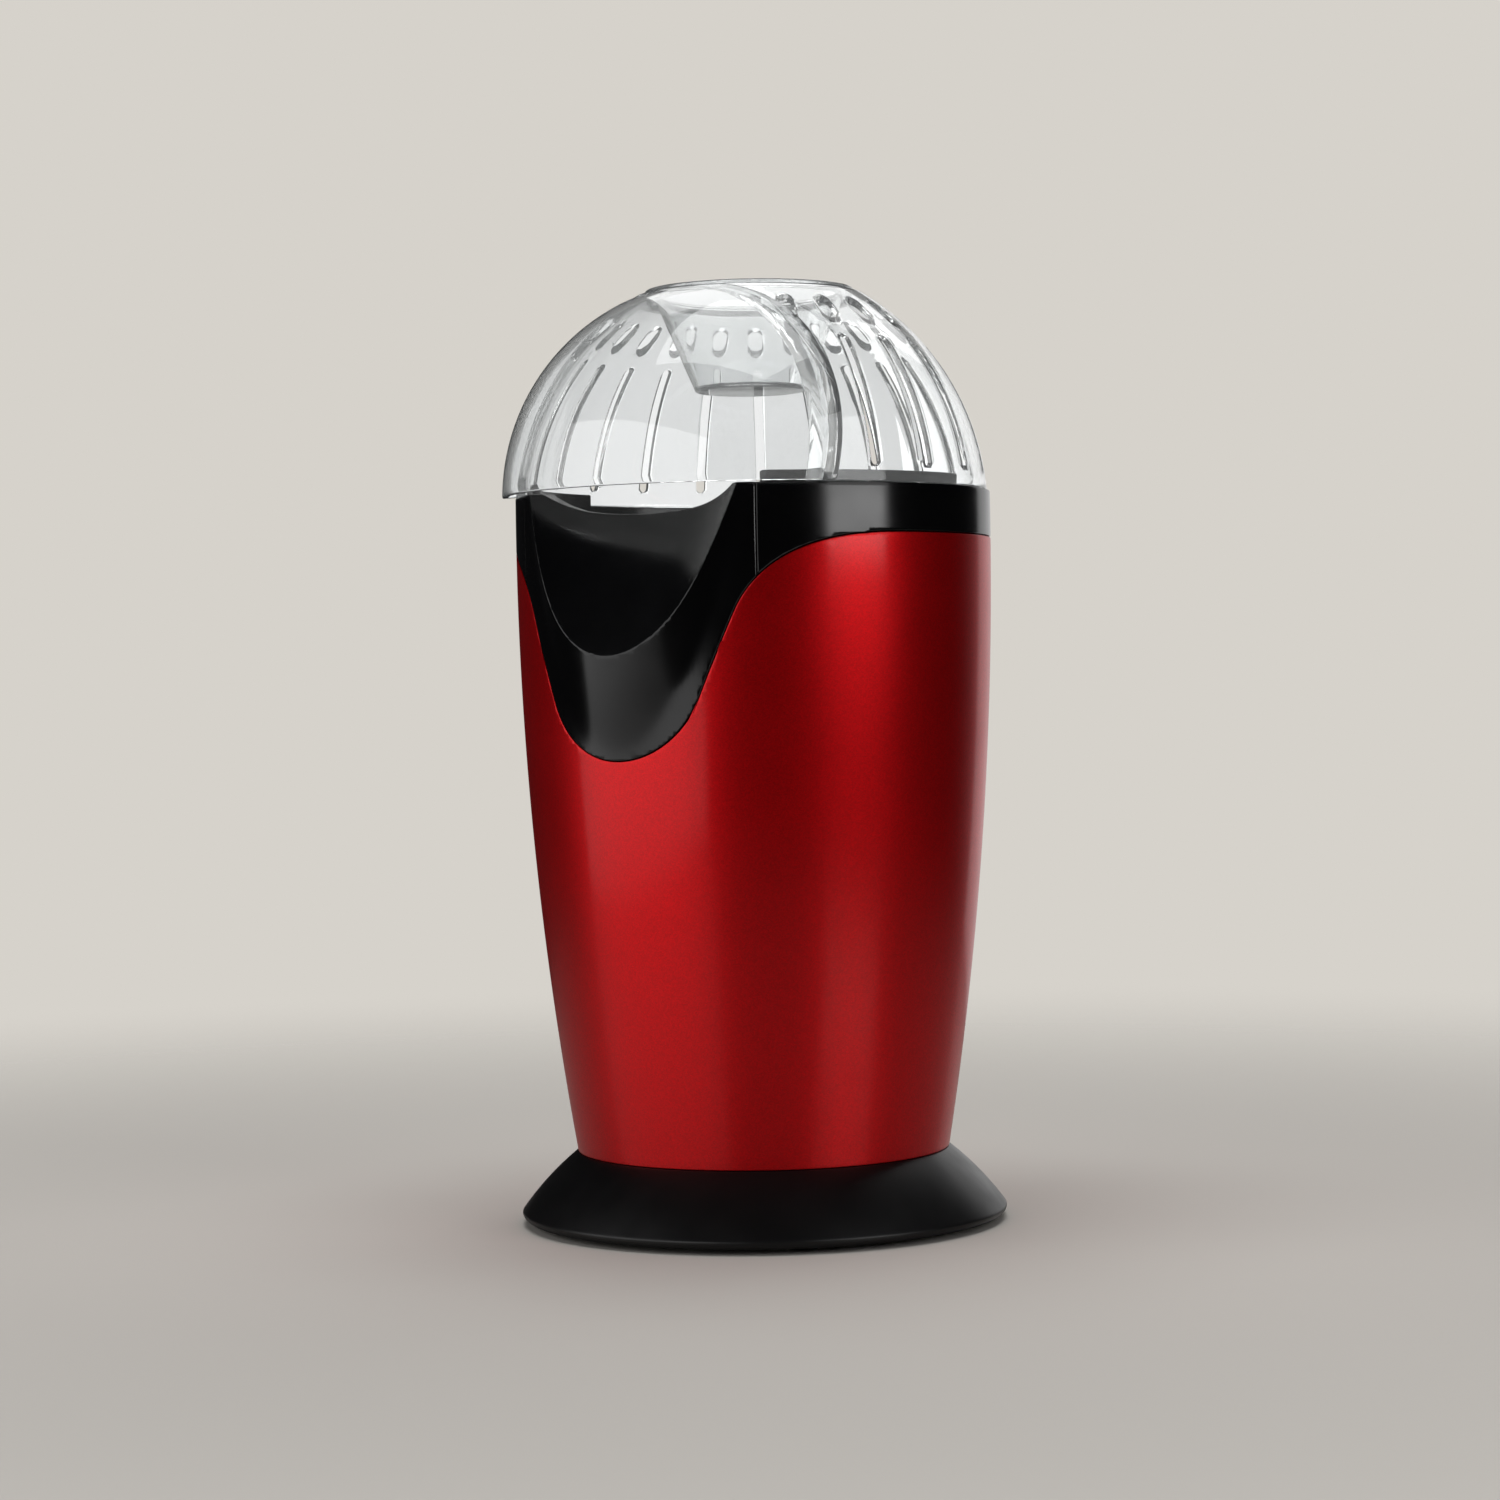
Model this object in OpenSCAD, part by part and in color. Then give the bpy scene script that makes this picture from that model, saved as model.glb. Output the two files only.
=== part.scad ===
// Hot-air popcorn maker: flared base, tapered shell, collar with a scoop chute,
// clear vented hood and a measuring cup that hangs in the top of the hood.
// The axis of the body is Z, the front is -Y and the feet stand on z = 0.

/* [Feet and base] */
// Height of the rubber feet
foot_h = 3; // [2:0.5:6]
// Radius of a rubber foot
foot_r = 6.5; // [4:0.5:8]
// Distance of the feet's edges from the edge of the bottom cover
foot_inset = 4.6; // [3:0.1:8]
// How far the skirt hangs below the top of the feet
skirt_drop = 1.4; // [0:0.2:1.8]
// Height of the flared skirt
skirt_h = 21.7; // [19:0.1:28]
// Largest radius of the skirt
skirt_r = 78.3; // [76:0.1:84]
// Radius of the bulge of the skirt's flank
skirt_bulge_r = 94; // [60:1:200]
// Radius of the skirt's lower edge
skirt_edge_r = 2.6; // [2:0.1:3.2]
// Thickness of the bottom cover
cover_t = 2.2; // [1.6:0.1:3]
// Number of air slots in the bottom cover
cover_slots = 24; // [12:1:30]

/* [Shell] */
// Radius of the shell at its widest
body_r = 76.5; // [74:0.1:77]
// Radius of the shell at its lower edge
body_base_r = 60; // [58:0.5:64]
// Height of the shell up to the collar seam at the back
body_h = 195.7; // [185:0.1:215]
// Wall of the shell, the collar and the skirt
wall = 2.4; // [1.8:0.1:3]
// Width of the joint lines between the shell, the collar and the chute
seam_gap = 0.3; // [0.1:0.05:0.5]

/* [Collar] */
// Height of the collar above the seam at the back
collar_h = 14.8; // [12:0.1:18]
// How far the front apron reaches below the seam
apron_drop = 69; // [62:0.5:76]
// Radius of the apron's tip
apron_tip_r = 29.5; // [24:0.5:32]
// Slope of the apron's sides from the horizontal
apron_angle = 68; // [62:1:74]
// Radius of the sweep from the apron's side into the seam
apron_sweep_r = 38; // [28:1:42]
// Height of the spigot that locates the hood
spigot_h = 3.7; // [2.5:0.1:5]
// Wall of the spigot
spigot_wall = 2; // [1.5:0.1:3]
// Angle of each gap in the spigot
spigot_gap = 55; // [30:1:58]
// How far the mouth is wider than the popping chamber
mouth_step = 2; // [1:0.5:4]
// Thickness of the funnel floor
floor_t = 2; // [1.6:0.1:3]
// Depth of the funnel floor below the shoulder of the collar
floor_drop = 9.4; // [8.5:0.1:12]
// Depth of the tongue that centres the collar in the shell
tongue_h = 5; // [3:0.5:6]
// Thickness of the tongue
tongue_t = 1.6; // [1.2:0.1:2.4]

/* [Chute] */
// How far the chute piece's sides lie inside the face of the shell
chute_inset = 32.2; // [30.5:0.1:33.5]
// Depth of the chute piece behind the face of the shell
chute_depth = 19.5; // [16:0.5:21]
// Slope of the trough from the horizontal
trough_angle = 64; // [58:1:66]
// Radius of the trough's bottom
trough_bottom_r = 150; // [120:5:200]
// Height of the trough's crest above the funnel floor
crest_rise = 1.7; // [0.5:0.1:3]
// Half width of the trough's bottom arc
trough_bottom_half_w = 18; // [12:1:22]
// Radius of the trough's sides
trough_side_r = 45; // [42:1:50]
// How far the lip stands out beyond the shell at its lowest point
lip_overhang = 3; // [1.5:0.1:3.5]
// Height of the lip above the apron's tip
lip_rise = 32; // [28:0.5:36]
// Radius of the bay that carries the lip
bay_r = 46; // [44:0.5:50]
// Wall of the chute
chute_wall = 2.2; // [1.6:0.1:3]

/* [Hood] */
// Height of the hood
hood_h = 64.2; // [60:0.1:72]
// How far the hood's rim is set in from the face of the shell
hood_set = 1; // [0.7:0.1:2]
// Width of the hood's top beyond the cup's flange
top_land = 2.8; // [1.5:0.1:5]
// Radius of the dome's profile
dome_r = 83.1; // [76:0.1:95]
// How far the front visor stands out at the rim
visor_reach = 5.2; // [4:0.1:7]
// Radius of the visor's profile
visor_profile_r = 69.9; // [64:0.1:78]
// Distance of the visor's side wall from the axis at the rim
visor_depth = 48; // [44:1:54]
// Backward lean of the visor's side wall
visor_lean = 13; // [8:1:16]
// Wall of the hood
hood_wall = 2; // [1.5:0.1:2.6]
// Number of places in the ring of slots
slot_places = 22; // [18:1:26]
// Width of a long slot
slot_w = 3.1; // [2:0.1:4]
// Height of a long slot
slot_h = 41; // [28:1:42]
// Height of the slots' lower ends above the rim
slot_rise = 5; // [4.5:0.5:10]
// Width of an upper vent
vent_w = 5.6; // [4:0.1:6.5]
// Length of an upper vent
vent_l = 9; // [7:0.5:12]
// Distance of the upper vents' middle from the hood's top edge
vent_inset = 10.6; // [9:0.1:14]

/* [Measuring cup] */
// Outer radius of the cup under its flange
cup_top_r = 30.9; // [28:0.1:31]
// Outer radius of the cup's bottom
cup_bottom_r = 17.8; // [14:0.1:22]
// Depth of the cup
cup_h = 31; // [24:0.5:36]
// Wall of the cup
cup_wall = 1.6; // [1.2:0.1:2.4]
// Gap round the cup in the hood's opening
cup_clear = 0.7; // [0.3:0.1:1]
// How far the cup's flange rests on the hood
cup_ledge = 2; // [1:0.1:3]
// Thickness of the cup's flange
cup_flange_t = 1.6; // [1.2:0.1:2.4]

/* [Popping chamber and heater] */
// Inner radius of the popping chamber
chamber_r = 40; // [36:0.5:40.5]
// Thickness of the chamber's sheet
chamber_t = 0.8; // [0.6:0.1:1.2]
// Rise of the cone in the chamber's bottom
chamber_cone_h = 6; // [3:0.5:9]
// Number of louvres round the chamber
louvres = 24; // [16:1:28]
// Length of a louvre
louvre_l = 14; // [10:0.5:16]
// Lean of the louvres from the vertical
louvre_lean = 32; // [20:1:40]
// Thickness of the gasket on the chamber's flange
gasket_t = 1; // [0.8:0.1:2]
// Inner radius of the heater housing
heater_r = 47.4; // [46:0.1:48]
// Thickness of the heater housing's sheet
heater_t = 0.8; // [0.6:0.1:1.2]
// Height of the mica boards
mica_h = 28; // [22:1:30]
// Thickness of a mica board
mica_t = 0.8; // [0.6:0.1:1.2]
// Radius of the wound heating wire
coil_r = 2; // [1.5:0.1:2.4]
// Number of rings of heating wire
coil_rings = 3; // [2:1:4]
// Distance between rings of heating wire
coil_pitch = 10; // [8:0.5:11]
// Air gap between the mica boards and the popping chamber
heater_gap = 8.8; // [6:0.2:14]

/* [Fan and motor] */
// Height of the fan housing
fan_case_h = 32; // [28:1:36]
// Wall of the fan housing
fan_case_wall = 2.2; // [1.6:0.1:3]
// Radius of the impeller
fan_r = 40; // [34:0.5:42]
// Height of the impeller's blades
blade_h = 13; // [9:0.5:16]
// Number of impeller blades
blades = 12; // [8:1:16]
// Radius of the motor shaft
shaft_r = 2; // [1.5:0.1:2.5]
// Running clearance of the shaft in its bushes
running_gap = 0.05; // [0.02:0.01:0.08]
// Radius of the motor can
motor_r = 21; // [19:0.5:23]
// Length of the motor can
motor_h = 43; // [38:1:46]
// Height of the motor can above the bottom cover
motor_rise = 14.4; // [12:0.2:18]

/* [Switch and cord gland] */
// Height of the switch above the shell's lower edge
switch_rise = 23; // [21:1:26]
// Width of the switch bezel
switch_w = 15; // [14:0.5:18]
// Height of the switch bezel
switch_h = 21.5; // [20:0.5:25]
// Tilt of the rocker at either stop
rocker_tilt = 8; // [6:0.5:10]
// Radius of the gland's bore
gland_bore_r = 3.7; // [3.4:0.1:4.2]
// How far the gland's mouth stands out beyond the skirt
gland_proud = 2.4; // [2:0.1:5]

/* [Hidden] */
$fn = 96;
fine = 256;
// Size of a block or cut that has to pass the whole part
big = 400;
// Gap between pieces that slip together
fit = 0.2;
// Radii of a thread-forming screw, of its hole and of its passage
thread_r = 1.2;
pilot_r = 1.25;
passage_r = 1.6;

// Radii that follow from the shell, the skirt, the chamber and the cup
lip_reach = body_r + lip_overhang;
chute_back = body_r - chute_depth;
chute_half_w = body_r - chute_inset;
hood_r = body_r - hood_set;
hood_open_r = cup_top_r + cup_clear;
cup_flange_r = hood_open_r + cup_ledge;
hood_top_r = cup_flange_r + top_land;
vent_circle_r = hood_top_r + vent_inset;
mouth_r = chamber_r + mouth_step;
gland_reach = skirt_r + gland_proud;

// Heights of the stack, from the feet up
skirt_z = foot_h - skirt_drop;
body_z = skirt_z + skirt_h;
seam_z = body_z + body_h;
rim_z = seam_z + collar_h;
floor_z = rim_z - floor_drop;
hood_z = rim_z + fit;
hood_top_z = hood_z + hood_h;
cup_flange_z = hood_top_z + fit;

// Flank of the shell: an arc that is upright near the seam
upright_z = seam_z + 3;
taper = body_r - body_base_r;
flank_r = (pow(upright_z - body_z, 2) + taper * taper) / (2 * taper);

// Centre of an arc through two points of a profile, on the axis side
function arc_centre(a, b, r) =
    let (m = (a + b) / 2, d = b - a, l = norm(d), k = sqrt(r * r - l * l / 4) / l)
    m + k * [-d[1], d[0]];

// Radius of the shell at a height
function body_r_at(z) = body_r - flank_r + sqrt(flank_r * flank_r - pow(upright_z - z, 2));

// Angle of the shell's flank from the vertical at a height
function body_lean_at(z) = asin((upright_z - z) / flank_r);

// ---- helpers ---------------------------------------------------------------

// Copies of the children at equal angles on a circle
module on_circle(n, r, first = 0) {
    for (i = [0 : n - 1]) rotate(first + i * 360 / n) translate([r, 0, 0]) children();
}

module ring(r_out, r_in, h) {
    difference() {
        cylinder(r = r_out, h = h);
        translate([0, 0, -1]) cylinder(r = r_in, h = h + 2);
    }
}

// Filled half profile of the shell's flank between two heights
module flank_profile(z0, z1, inset = 0) {
    intersection() {
        translate([body_r - flank_r, upright_z]) circle(r = flank_r - inset, $fn = fine);
        translate([0, z0]) square([body_r + 1, z1 - z0]);
    }
}

module flank_solid(z0, z1, inset = 0) {
    rotate_extrude() flank_profile(z0, z1, inset);
}

module flank_shell(z0, z1) {
    difference() {
        flank_solid(z0, z1);
        flank_solid(z0 - 1, z1 + 1, wall);
    }
}

// ---- base ------------------------------------------------------------------

cover_z = foot_h;
cover_top = cover_z + cover_t;
cover_r = skirt_r - wall - 1.8;
foot_circle_r = cover_r - foot_r - foot_inset;
foot_chamfer = 0.8;
foot_dowel_r = 2;
screw_circle_r = body_base_r - 2;
screw_angles = [-90, 30, 150];
screw_depth = 13;
cover_head_r = 3;
cover_head_h = 1.1;
boss_r = 3.6;
deck_open_r = body_base_r - 10;
locator_h = 6;
locator_t = 2;

module skirt_profile(inset = 0) {
    edge_z = skirt_z + skirt_edge_r;
    top = [body_base_r, body_z];
    low = [skirt_r, edge_z];
    intersection() {
        translate(arc_centre(low, top, skirt_bulge_r)) circle(r = skirt_bulge_r - inset, $fn = fine);
        translate([0, edge_z - 0.01]) square([skirt_r + 1, body_z - edge_z + 0.01 - inset]);
    }
    translate([skirt_r - skirt_edge_r, edge_z]) circle(r = skirt_edge_r - min(inset, 1.4));
    translate([0, skirt_z - inset]) square([skirt_r - skirt_edge_r, skirt_edge_r + inset]);
}

gland_neck_r = gland_bore_r + 1.3;
gland_flange_r = gland_neck_r + 1.4;
gland_flange_t = 2.4;
gland_boss_r = gland_flange_r + 0.8;
gland_z = cover_top + gland_boss_r + 0.6;
gland_l = 21.7;
gland_inner = gland_reach - gland_l;
gland_stop_t = 2;

module gland_axis(y) {
    translate([0, y, gland_z]) rotate([-90, 0, 0]) children();
}

module base_skirt() {
    color([0.05, 0.05, 0.05]) difference() {
        union() {
            difference() {
                rotate_extrude() skirt_profile();
                rotate_extrude() skirt_profile(wall);
            }
            // locating ring for the shell
            translate([0, 0, body_z - 0.01])
                ring(body_base_r - wall - fit, body_base_r - wall - fit - locator_t, locator_h);
            // screw bosses
            for (a = screw_angles) rotate(a) translate([screw_circle_r, 0, cover_top])
                cylinder(r = boss_r, h = body_z - wall / 2 - cover_top);
            // turret round the cord gland
            gland_axis(gland_inner + gland_stop_t + 0.4)
                cylinder(r = gland_boss_r, h = gland_l - gland_flange_t - gland_stop_t - 0.4);
        }
        translate([0, 0, body_z - skirt_h / 2]) cylinder(r = deck_open_r, h = skirt_h);
        for (a = screw_angles) rotate(a) translate([screw_circle_r, 0, cover_z])
            cylinder(r = pilot_r, h = screw_depth + 1);
        gland_axis(gland_inner) cylinder(r = gland_neck_r + fit / 2, h = gland_l + 1);
    }
}

module cord_gland() {
    color([0.04, 0.04, 0.04]) difference() {
        union() {
            gland_axis(gland_inner) cylinder(r = gland_neck_r, h = gland_l - 1);
            gland_axis(gland_reach - gland_flange_t) cylinder(r = gland_flange_r, h = gland_flange_t);
            gland_axis(gland_inner + fit) cylinder(r = gland_neck_r + 0.9, h = gland_stop_t);
        }
        gland_axis(gland_inner - 1) cylinder(r = gland_bore_r, h = gland_l + 2);
    }
}

module bottom_cover() {
    slot_in = motor_r + 5;
    slot_out = deck_open_r - 2;
    slot_half = 1.5;
    slot_z = cover_z - 1;
    slot_cut = cover_t + 2;
    color([0.07, 0.07, 0.07]) difference() {
        translate([0, 0, cover_z]) cylinder(r = cover_r, h = cover_t);
        on_circle(cover_slots, 0) for (r = [slot_in, slot_out]) {
            translate([slot_in, -slot_half, slot_z]) cube([slot_out - slot_in, 2 * slot_half, slot_cut]);
            translate([r, 0, slot_z]) cylinder(r = slot_half, h = slot_cut);
        }
        for (a = screw_angles) rotate(a) translate([screw_circle_r, 0, slot_z]) {
            cylinder(r = passage_r, h = slot_cut);
            cylinder(r = cover_head_r + 0.3, h = 1 + cover_t / 2);
        }
        on_circle(4, foot_circle_r, 45) translate([0, 0, slot_z])
            cylinder(r = foot_dowel_r + 0.05, h = slot_cut);
    }
}

module rubber_feet() {
    color([0.09, 0.09, 0.09]) on_circle(4, foot_circle_r, 45) {
        cylinder(r1 = foot_r - foot_chamfer, r2 = foot_r, h = foot_chamfer);
        translate([0, 0, foot_chamfer]) cylinder(r = foot_r, h = foot_h - foot_chamfer);
        translate([0, 0, foot_h - 0.01]) cylinder(r = foot_dowel_r, h = cover_t);
    }
}

// Screw that points up, with a cross recess in its head
module screw(head_r, head_h, length) {
    recess = [3.6, 0.6, 0.6];
    difference() {
        union() {
            cylinder(r = head_r, h = head_h);
            cylinder(r = thread_r, h = length);
        }
        for (q = [0, 90]) rotate(q) translate([-recess[0] / 2, -recess[1] / 2, -1])
            cube(recess + [0, 0, 1]);
    }
}

module cover_screws() {
    head_z = cover_z + cover_t / 2 - cover_head_h;
    color([0.75, 0.75, 0.76]) for (a = screw_angles) rotate(a)
        translate([screw_circle_r, 0, head_z]) screw(cover_head_r, cover_head_h, screw_depth);
}

// ---- shell, collar and chute -----------------------------------------------

apron_z = seam_z - apron_drop;

// Front view of everything above the joint line, grown outwards by g
module apron_outline(g = 0) {
    s = sin(apron_angle);
    c = cos(apron_angle);
    tip_z = apron_z + apron_tip_r;
    sweep_z = seam_z - apron_sweep_r;
    t1 = [apron_tip_r * s, tip_z - apron_tip_r * c];
    run = (sweep_z + apron_sweep_r * c - t1[1]) / s;
    sweep_x = t1[0] + run * c + apron_sweep_r * s;
    a = [(apron_tip_r + g) * s, tip_z - (apron_tip_r + g) * c];
    b = a + run * [c, s];
    top = rim_z + collar_h;
    translate([0, tip_z]) circle(r = apron_tip_r + g, $fn = fine);
    difference() {
        polygon([[0, tip_z], a, b, [sweep_x, sweep_z], [sweep_x, top],
                 [-sweep_x, top], [-sweep_x, sweep_z], [-b[0], b[1]], [-a[0], a[1]]]);
        for (side = [-1, 1]) translate([side * sweep_x, sweep_z])
            circle(r = apron_sweep_r - g, $fn = fine);
    }
    translate([-big / 2, seam_z - g]) square([big, top - seam_z + g]);
}

// Space above the joint line: the apron at the front, a level seam behind
module above_seam(g = 0) {
    rotate([90, 0, 0]) linear_extrude(big / 2) apron_outline(g);
    translate([-big / 2, -1, seam_z - g]) cube([big, big / 2, 2 * collar_h]);
}

// A plain band up to just over the apron's tip, then the band that the apron cuts into
module outer_shell() {
    band_z = apron_z + 0.18 * apron_tip_r;
    color([0.6, 0.02, 0.04]) difference() {
        union() {
            flank_shell(body_z + fit / 2, band_z);
            flank_shell(band_z, seam_z + 1);
        }
        above_seam(seam_gap);
        switch_frame() cube(switch_body + [0.3, 0, 0.3], center = true);
    }
}

// Space of the chute piece, grown by g
module chute_block(g = 0) {
    translate([-chute_half_w - g, -big / 2, apron_z - big / 2])
        cube([2 * (chute_half_w + g), big / 2 - chute_back + g, big]);
}

// Tilted cylinder that carries the lip out in front of the shell
bay_tip_y = body_r_at(apron_z) + 0.05;
bay_tilt = atan((lip_reach - bay_tip_y) / lip_rise);
module bay(inset = 0) {
    length = 2 * (rim_z - apron_z);
    translate([0, -bay_tip_y, apron_z]) rotate([bay_tilt, 0, 0])
        translate([0, bay_r, -length / 4]) cylinder(r = bay_r - inset, h = length, $fn = fine);
}

// Cross-section of the trough: a flat bottom arc between two tighter side arcs
module trough_section(grow = 0) {
    a = asin(trough_bottom_half_w / trough_bottom_r);
    bottom = [0, trough_bottom_r];
    side = bottom + (trough_bottom_r - trough_side_r) * [sin(a), -cos(a)];
    reach = trough_bottom_r + grow + wall;
    intersection() {
        translate(bottom) circle(r = trough_bottom_r + grow, $fn = fine);
        polygon([bottom, bottom + reach / cos(a) * [sin(a), -cos(a)],
                 bottom + reach / cos(a) * [-sin(a), -cos(a)]]);
        translate([-big / 2, -big / 2]) square([big, big / 2 + side[1]]);
    }
    for (s = [-1, 1]) translate([s * side[0], side[1]]) circle(r = trough_side_r + grow, $fn = fine);
    translate([-side[0] - trough_side_r - grow, side[1]])
        square([2 * (side[0] + trough_side_r + grow), trough_side_r]);
}

lip_z = apron_z + lip_rise;
crest_z = floor_z + crest_rise;
crest_y = lip_reach - (crest_z - lip_z) / tan(trough_angle);

// Path of the popcorn: level over the floor, then down the trough
module popcorn_path(grow = 0) {
    translate([0, -crest_y + body_r / 3, crest_z]) rotate([90, 0, 0])
        linear_extrude(body_r / 1.5) trough_section(grow);
    translate([0, -crest_y, crest_z]) rotate([90 + trough_angle, 0, 0])
        translate([0, 0, -body_r / 2]) linear_extrude(2 * body_r) trough_section(grow);
}

module front_chute() {
    color([0.06, 0.06, 0.06]) difference() {
        intersection() {
            union() {
                flank_solid(apron_z - 5, rim_z);
                bay();
            }
            chute_block();
            rotate([90, 0, 0]) linear_extrude(big / 2) apron_outline();
            translate([-big / 2, -big / 2, 0]) cube([big, big / 2, rim_z]);
        }
        popcorn_path();
        // hollow behind the apron and under the trough
        difference() {
            intersection() {
                union() {
                    flank_solid(apron_z - 6, rim_z - chute_wall, wall);
                    bay(chute_wall);
                }
                translate([-chute_half_w + chute_wall, -big / 2, apron_z - 10])
                    cube([2 * (chute_half_w - chute_wall), big / 2, rim_z - chute_wall - apron_z + 10]);
            }
            popcorn_path(chute_wall);
        }
    }
}

spigot_clear = 0.35;
spigot_gap_from = 5;
spigot_r = dome_r_at(rim_z + spigot_h, hood_wall) - spigot_clear;
land_r = chute_back + 1.5;
collar_boss_r = 3.6;
collar_boss_h = 9;
collar_boss_circle_r = land_r + collar_boss_r - 0.1;
ear_z = floor_z - floor_t - collar_boss_h;

// Ring inside the shell round the back, which the collar's wall carries
module collar_tongue() {
    intersection() {
        difference() {
            union() {
                flank_solid(seam_z - tongue_h, seam_z + 0.1, wall + fit);
                flank_solid(seam_z, seam_z + tongue_h, wall / 2);
            }
            flank_solid(seam_z - tongue_h - 1, seam_z + tongue_h + 1, wall + fit + tongue_t);
        }
        translate([-big / 2, 0, 0]) cube([big, big / 2, big]);
    }
}

module top_collar() {
    spigot_in = spigot_r - spigot_wall;
    cone_z = floor_z + 4.6;
    color([0.05, 0.05, 0.05]) difference() {
        union() {
            intersection() {
                flank_shell(apron_z - 5, rim_z);
                above_seam();
            }
            collar_tongue();
            // funnel floor, shoulder and spigot
            rotate_extrude() polygon([
                [mouth_r, floor_z - floor_t], [land_r, floor_z - floor_t],
                [spigot_r, cone_z - floor_t], [body_r - wall + 0.2, cone_z - floor_t],
                [body_r - wall + 0.2, rim_z], [spigot_r, rim_z],
                [spigot_r, rim_z + spigot_h], [spigot_in, rim_z + spigot_h],
                [spigot_in, cone_z], [land_r, floor_z], [mouth_r, floor_z]]);
            on_circle(4, collar_boss_circle_r, 45) translate([0, 0, ear_z])
                cylinder(r = collar_boss_r, h = floor_z - ear_z);
        }
        chute_block(seam_gap);
        on_circle(4, collar_boss_circle_r, 45) translate([0, 0, ear_z - 1])
            cylinder(r = pilot_r, h = collar_boss_h);
        // gaps that leave the spigot in arcs at the back and on either side
        for (a = [spigot_gap_from, 180 - spigot_gap_from - spigot_gap]) rotate(a)
            rotate_extrude(angle = spigot_gap) translate([spigot_in - 1, rim_z])
                square([spigot_wall + 1 + spigot_clear / 2, spigot_h + 1]);
    }
}

// ---- hood and cup ----------------------------------------------------------

visor_r = hood_r + visor_reach;
visor_top_r = hood_top_r - 0.6;

module dome_profile(rim_r, top_r, profile_r, inset = 0) {
    intersection() {
        translate(arc_centre([rim_r, hood_z], [top_r, hood_top_z], profile_r))
            circle(r = profile_r - inset, $fn = fine);
        translate([0, hood_z - inset]) square([rim_r + 5, hood_h]);
    }
}

// Radius of the dome at a height
function dome_r_at(z, inset = 0) =
    let (c = arc_centre([hood_r, hood_z], [hood_top_r, hood_top_z], dome_r))
    c[0] + sqrt(pow(dome_r - inset, 2) - pow(z - c[1], 2));

// Half-space in front of the visor's leaning side wall
module in_front(back = 0) {
    translate([0, -visor_depth - back, hood_z]) rotate([-visor_lean, 0, 0])
        translate([-big / 2, -big / 2, -big / 4]) cube([big, big / 2, big]);
}

// Places left out on either side of the front
slot_first = 4;
vent_first = 3;
slot_in = hood_r * 0.6;

module hood() {
    step = 360 / slot_places;
    slot_low = hood_z + slot_rise + slot_w / 2;
    slot_high = hood_z + slot_rise + slot_h - slot_w / 2;
    color([0.85, 0.88, 0.9, 0.45]) difference() {
        union() {
            rotate_extrude() dome_profile(hood_r, hood_top_r, dome_r);
            intersection() {
                rotate_extrude() dome_profile(visor_r, visor_top_r, visor_profile_r);
                in_front();
            }
        }
        rotate_extrude() dome_profile(hood_r, hood_top_r, dome_r, hood_wall);
        intersection() {
            rotate_extrude() dome_profile(visor_r, visor_top_r, visor_profile_r, hood_wall);
            in_front(hood_wall);
        }
        translate([0, 0, hood_top_z - hood_h / 3]) cylinder(r = hood_open_r, h = hood_h);
        for (i = [slot_first : slot_places - slot_first]) rotate(i * step - 90) {
            translate([slot_in, -slot_w / 2, slot_low]) cube([hood_r, slot_w, slot_high - slot_low]);
            for (z = [slot_low, slot_high]) translate([slot_in, 0, z]) rotate([0, 90, 0])
                cylinder(r = slot_w / 2, h = hood_r);
        }
        for (i = [vent_first : slot_places - vent_first]) rotate(i * step - 90) {
            run = (vent_l - vent_w) / 2;
            vent_z = hood_top_z - hood_h / 4;
            translate([vent_circle_r - run, -vent_w / 2, vent_z]) cube([2 * run, vent_w, hood_h / 3]);
            for (s = [-1, 1]) translate([vent_circle_r + s * run, 0, vent_z])
                cylinder(r = vent_w / 2, h = hood_h / 3);
        }
    }
}

module measuring_cup() {
    slope = (cup_top_r - cup_bottom_r) / cup_h;
    color([0.85, 0.88, 0.9, 0.45]) rotate_extrude() polygon([
        [0, cup_flange_z - cup_h], [cup_bottom_r, cup_flange_z - cup_h],
        [cup_top_r, cup_flange_z], [cup_flange_r, cup_flange_z],
        [cup_flange_r, cup_flange_z + cup_flange_t],
        [cup_top_r - cup_wall + slope * cup_flange_t, cup_flange_z + cup_flange_t],
        [cup_bottom_r - cup_wall + slope * cup_wall, cup_flange_z - cup_h + cup_wall],
        [0, cup_flange_z - cup_h + cup_wall]]);
}

// ---- popping chamber and heater --------------------------------------------

// The motor stands over the cover, the fan and the heater stand on it, and the chamber hangs
// from the collar and reaches down to the heater
motor_z = cover_top + motor_rise;
motor_top = motor_z + motor_h;
fan_case_z = motor_top;
heater_lap = 6;
heater_z = fan_case_z + fan_case_h - heater_lap;
mica_foot = 4;
mica_z = heater_z + mica_foot;
coil_z = mica_z + mica_h / 2;
coil_in = 14;
gasket_z = floor_z - floor_t - gasket_t;
chamber_flange_z = gasket_z - chamber_t;
chamber_flange_r = heater_r + heater_t + 1.2;
chamber_z = mica_z + mica_h + heater_gap;
louvre_z = chamber_z + 11;
louvre_w = 2;
vane_w = 3;
heater_h = chamber_flange_z - heater_z;

module chamber_gasket() {
    color([0.75, 0.28, 0.2]) translate([0, 0, gasket_z]) ring(chamber_flange_r, mouth_r + 0.5, gasket_t);
}

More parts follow.
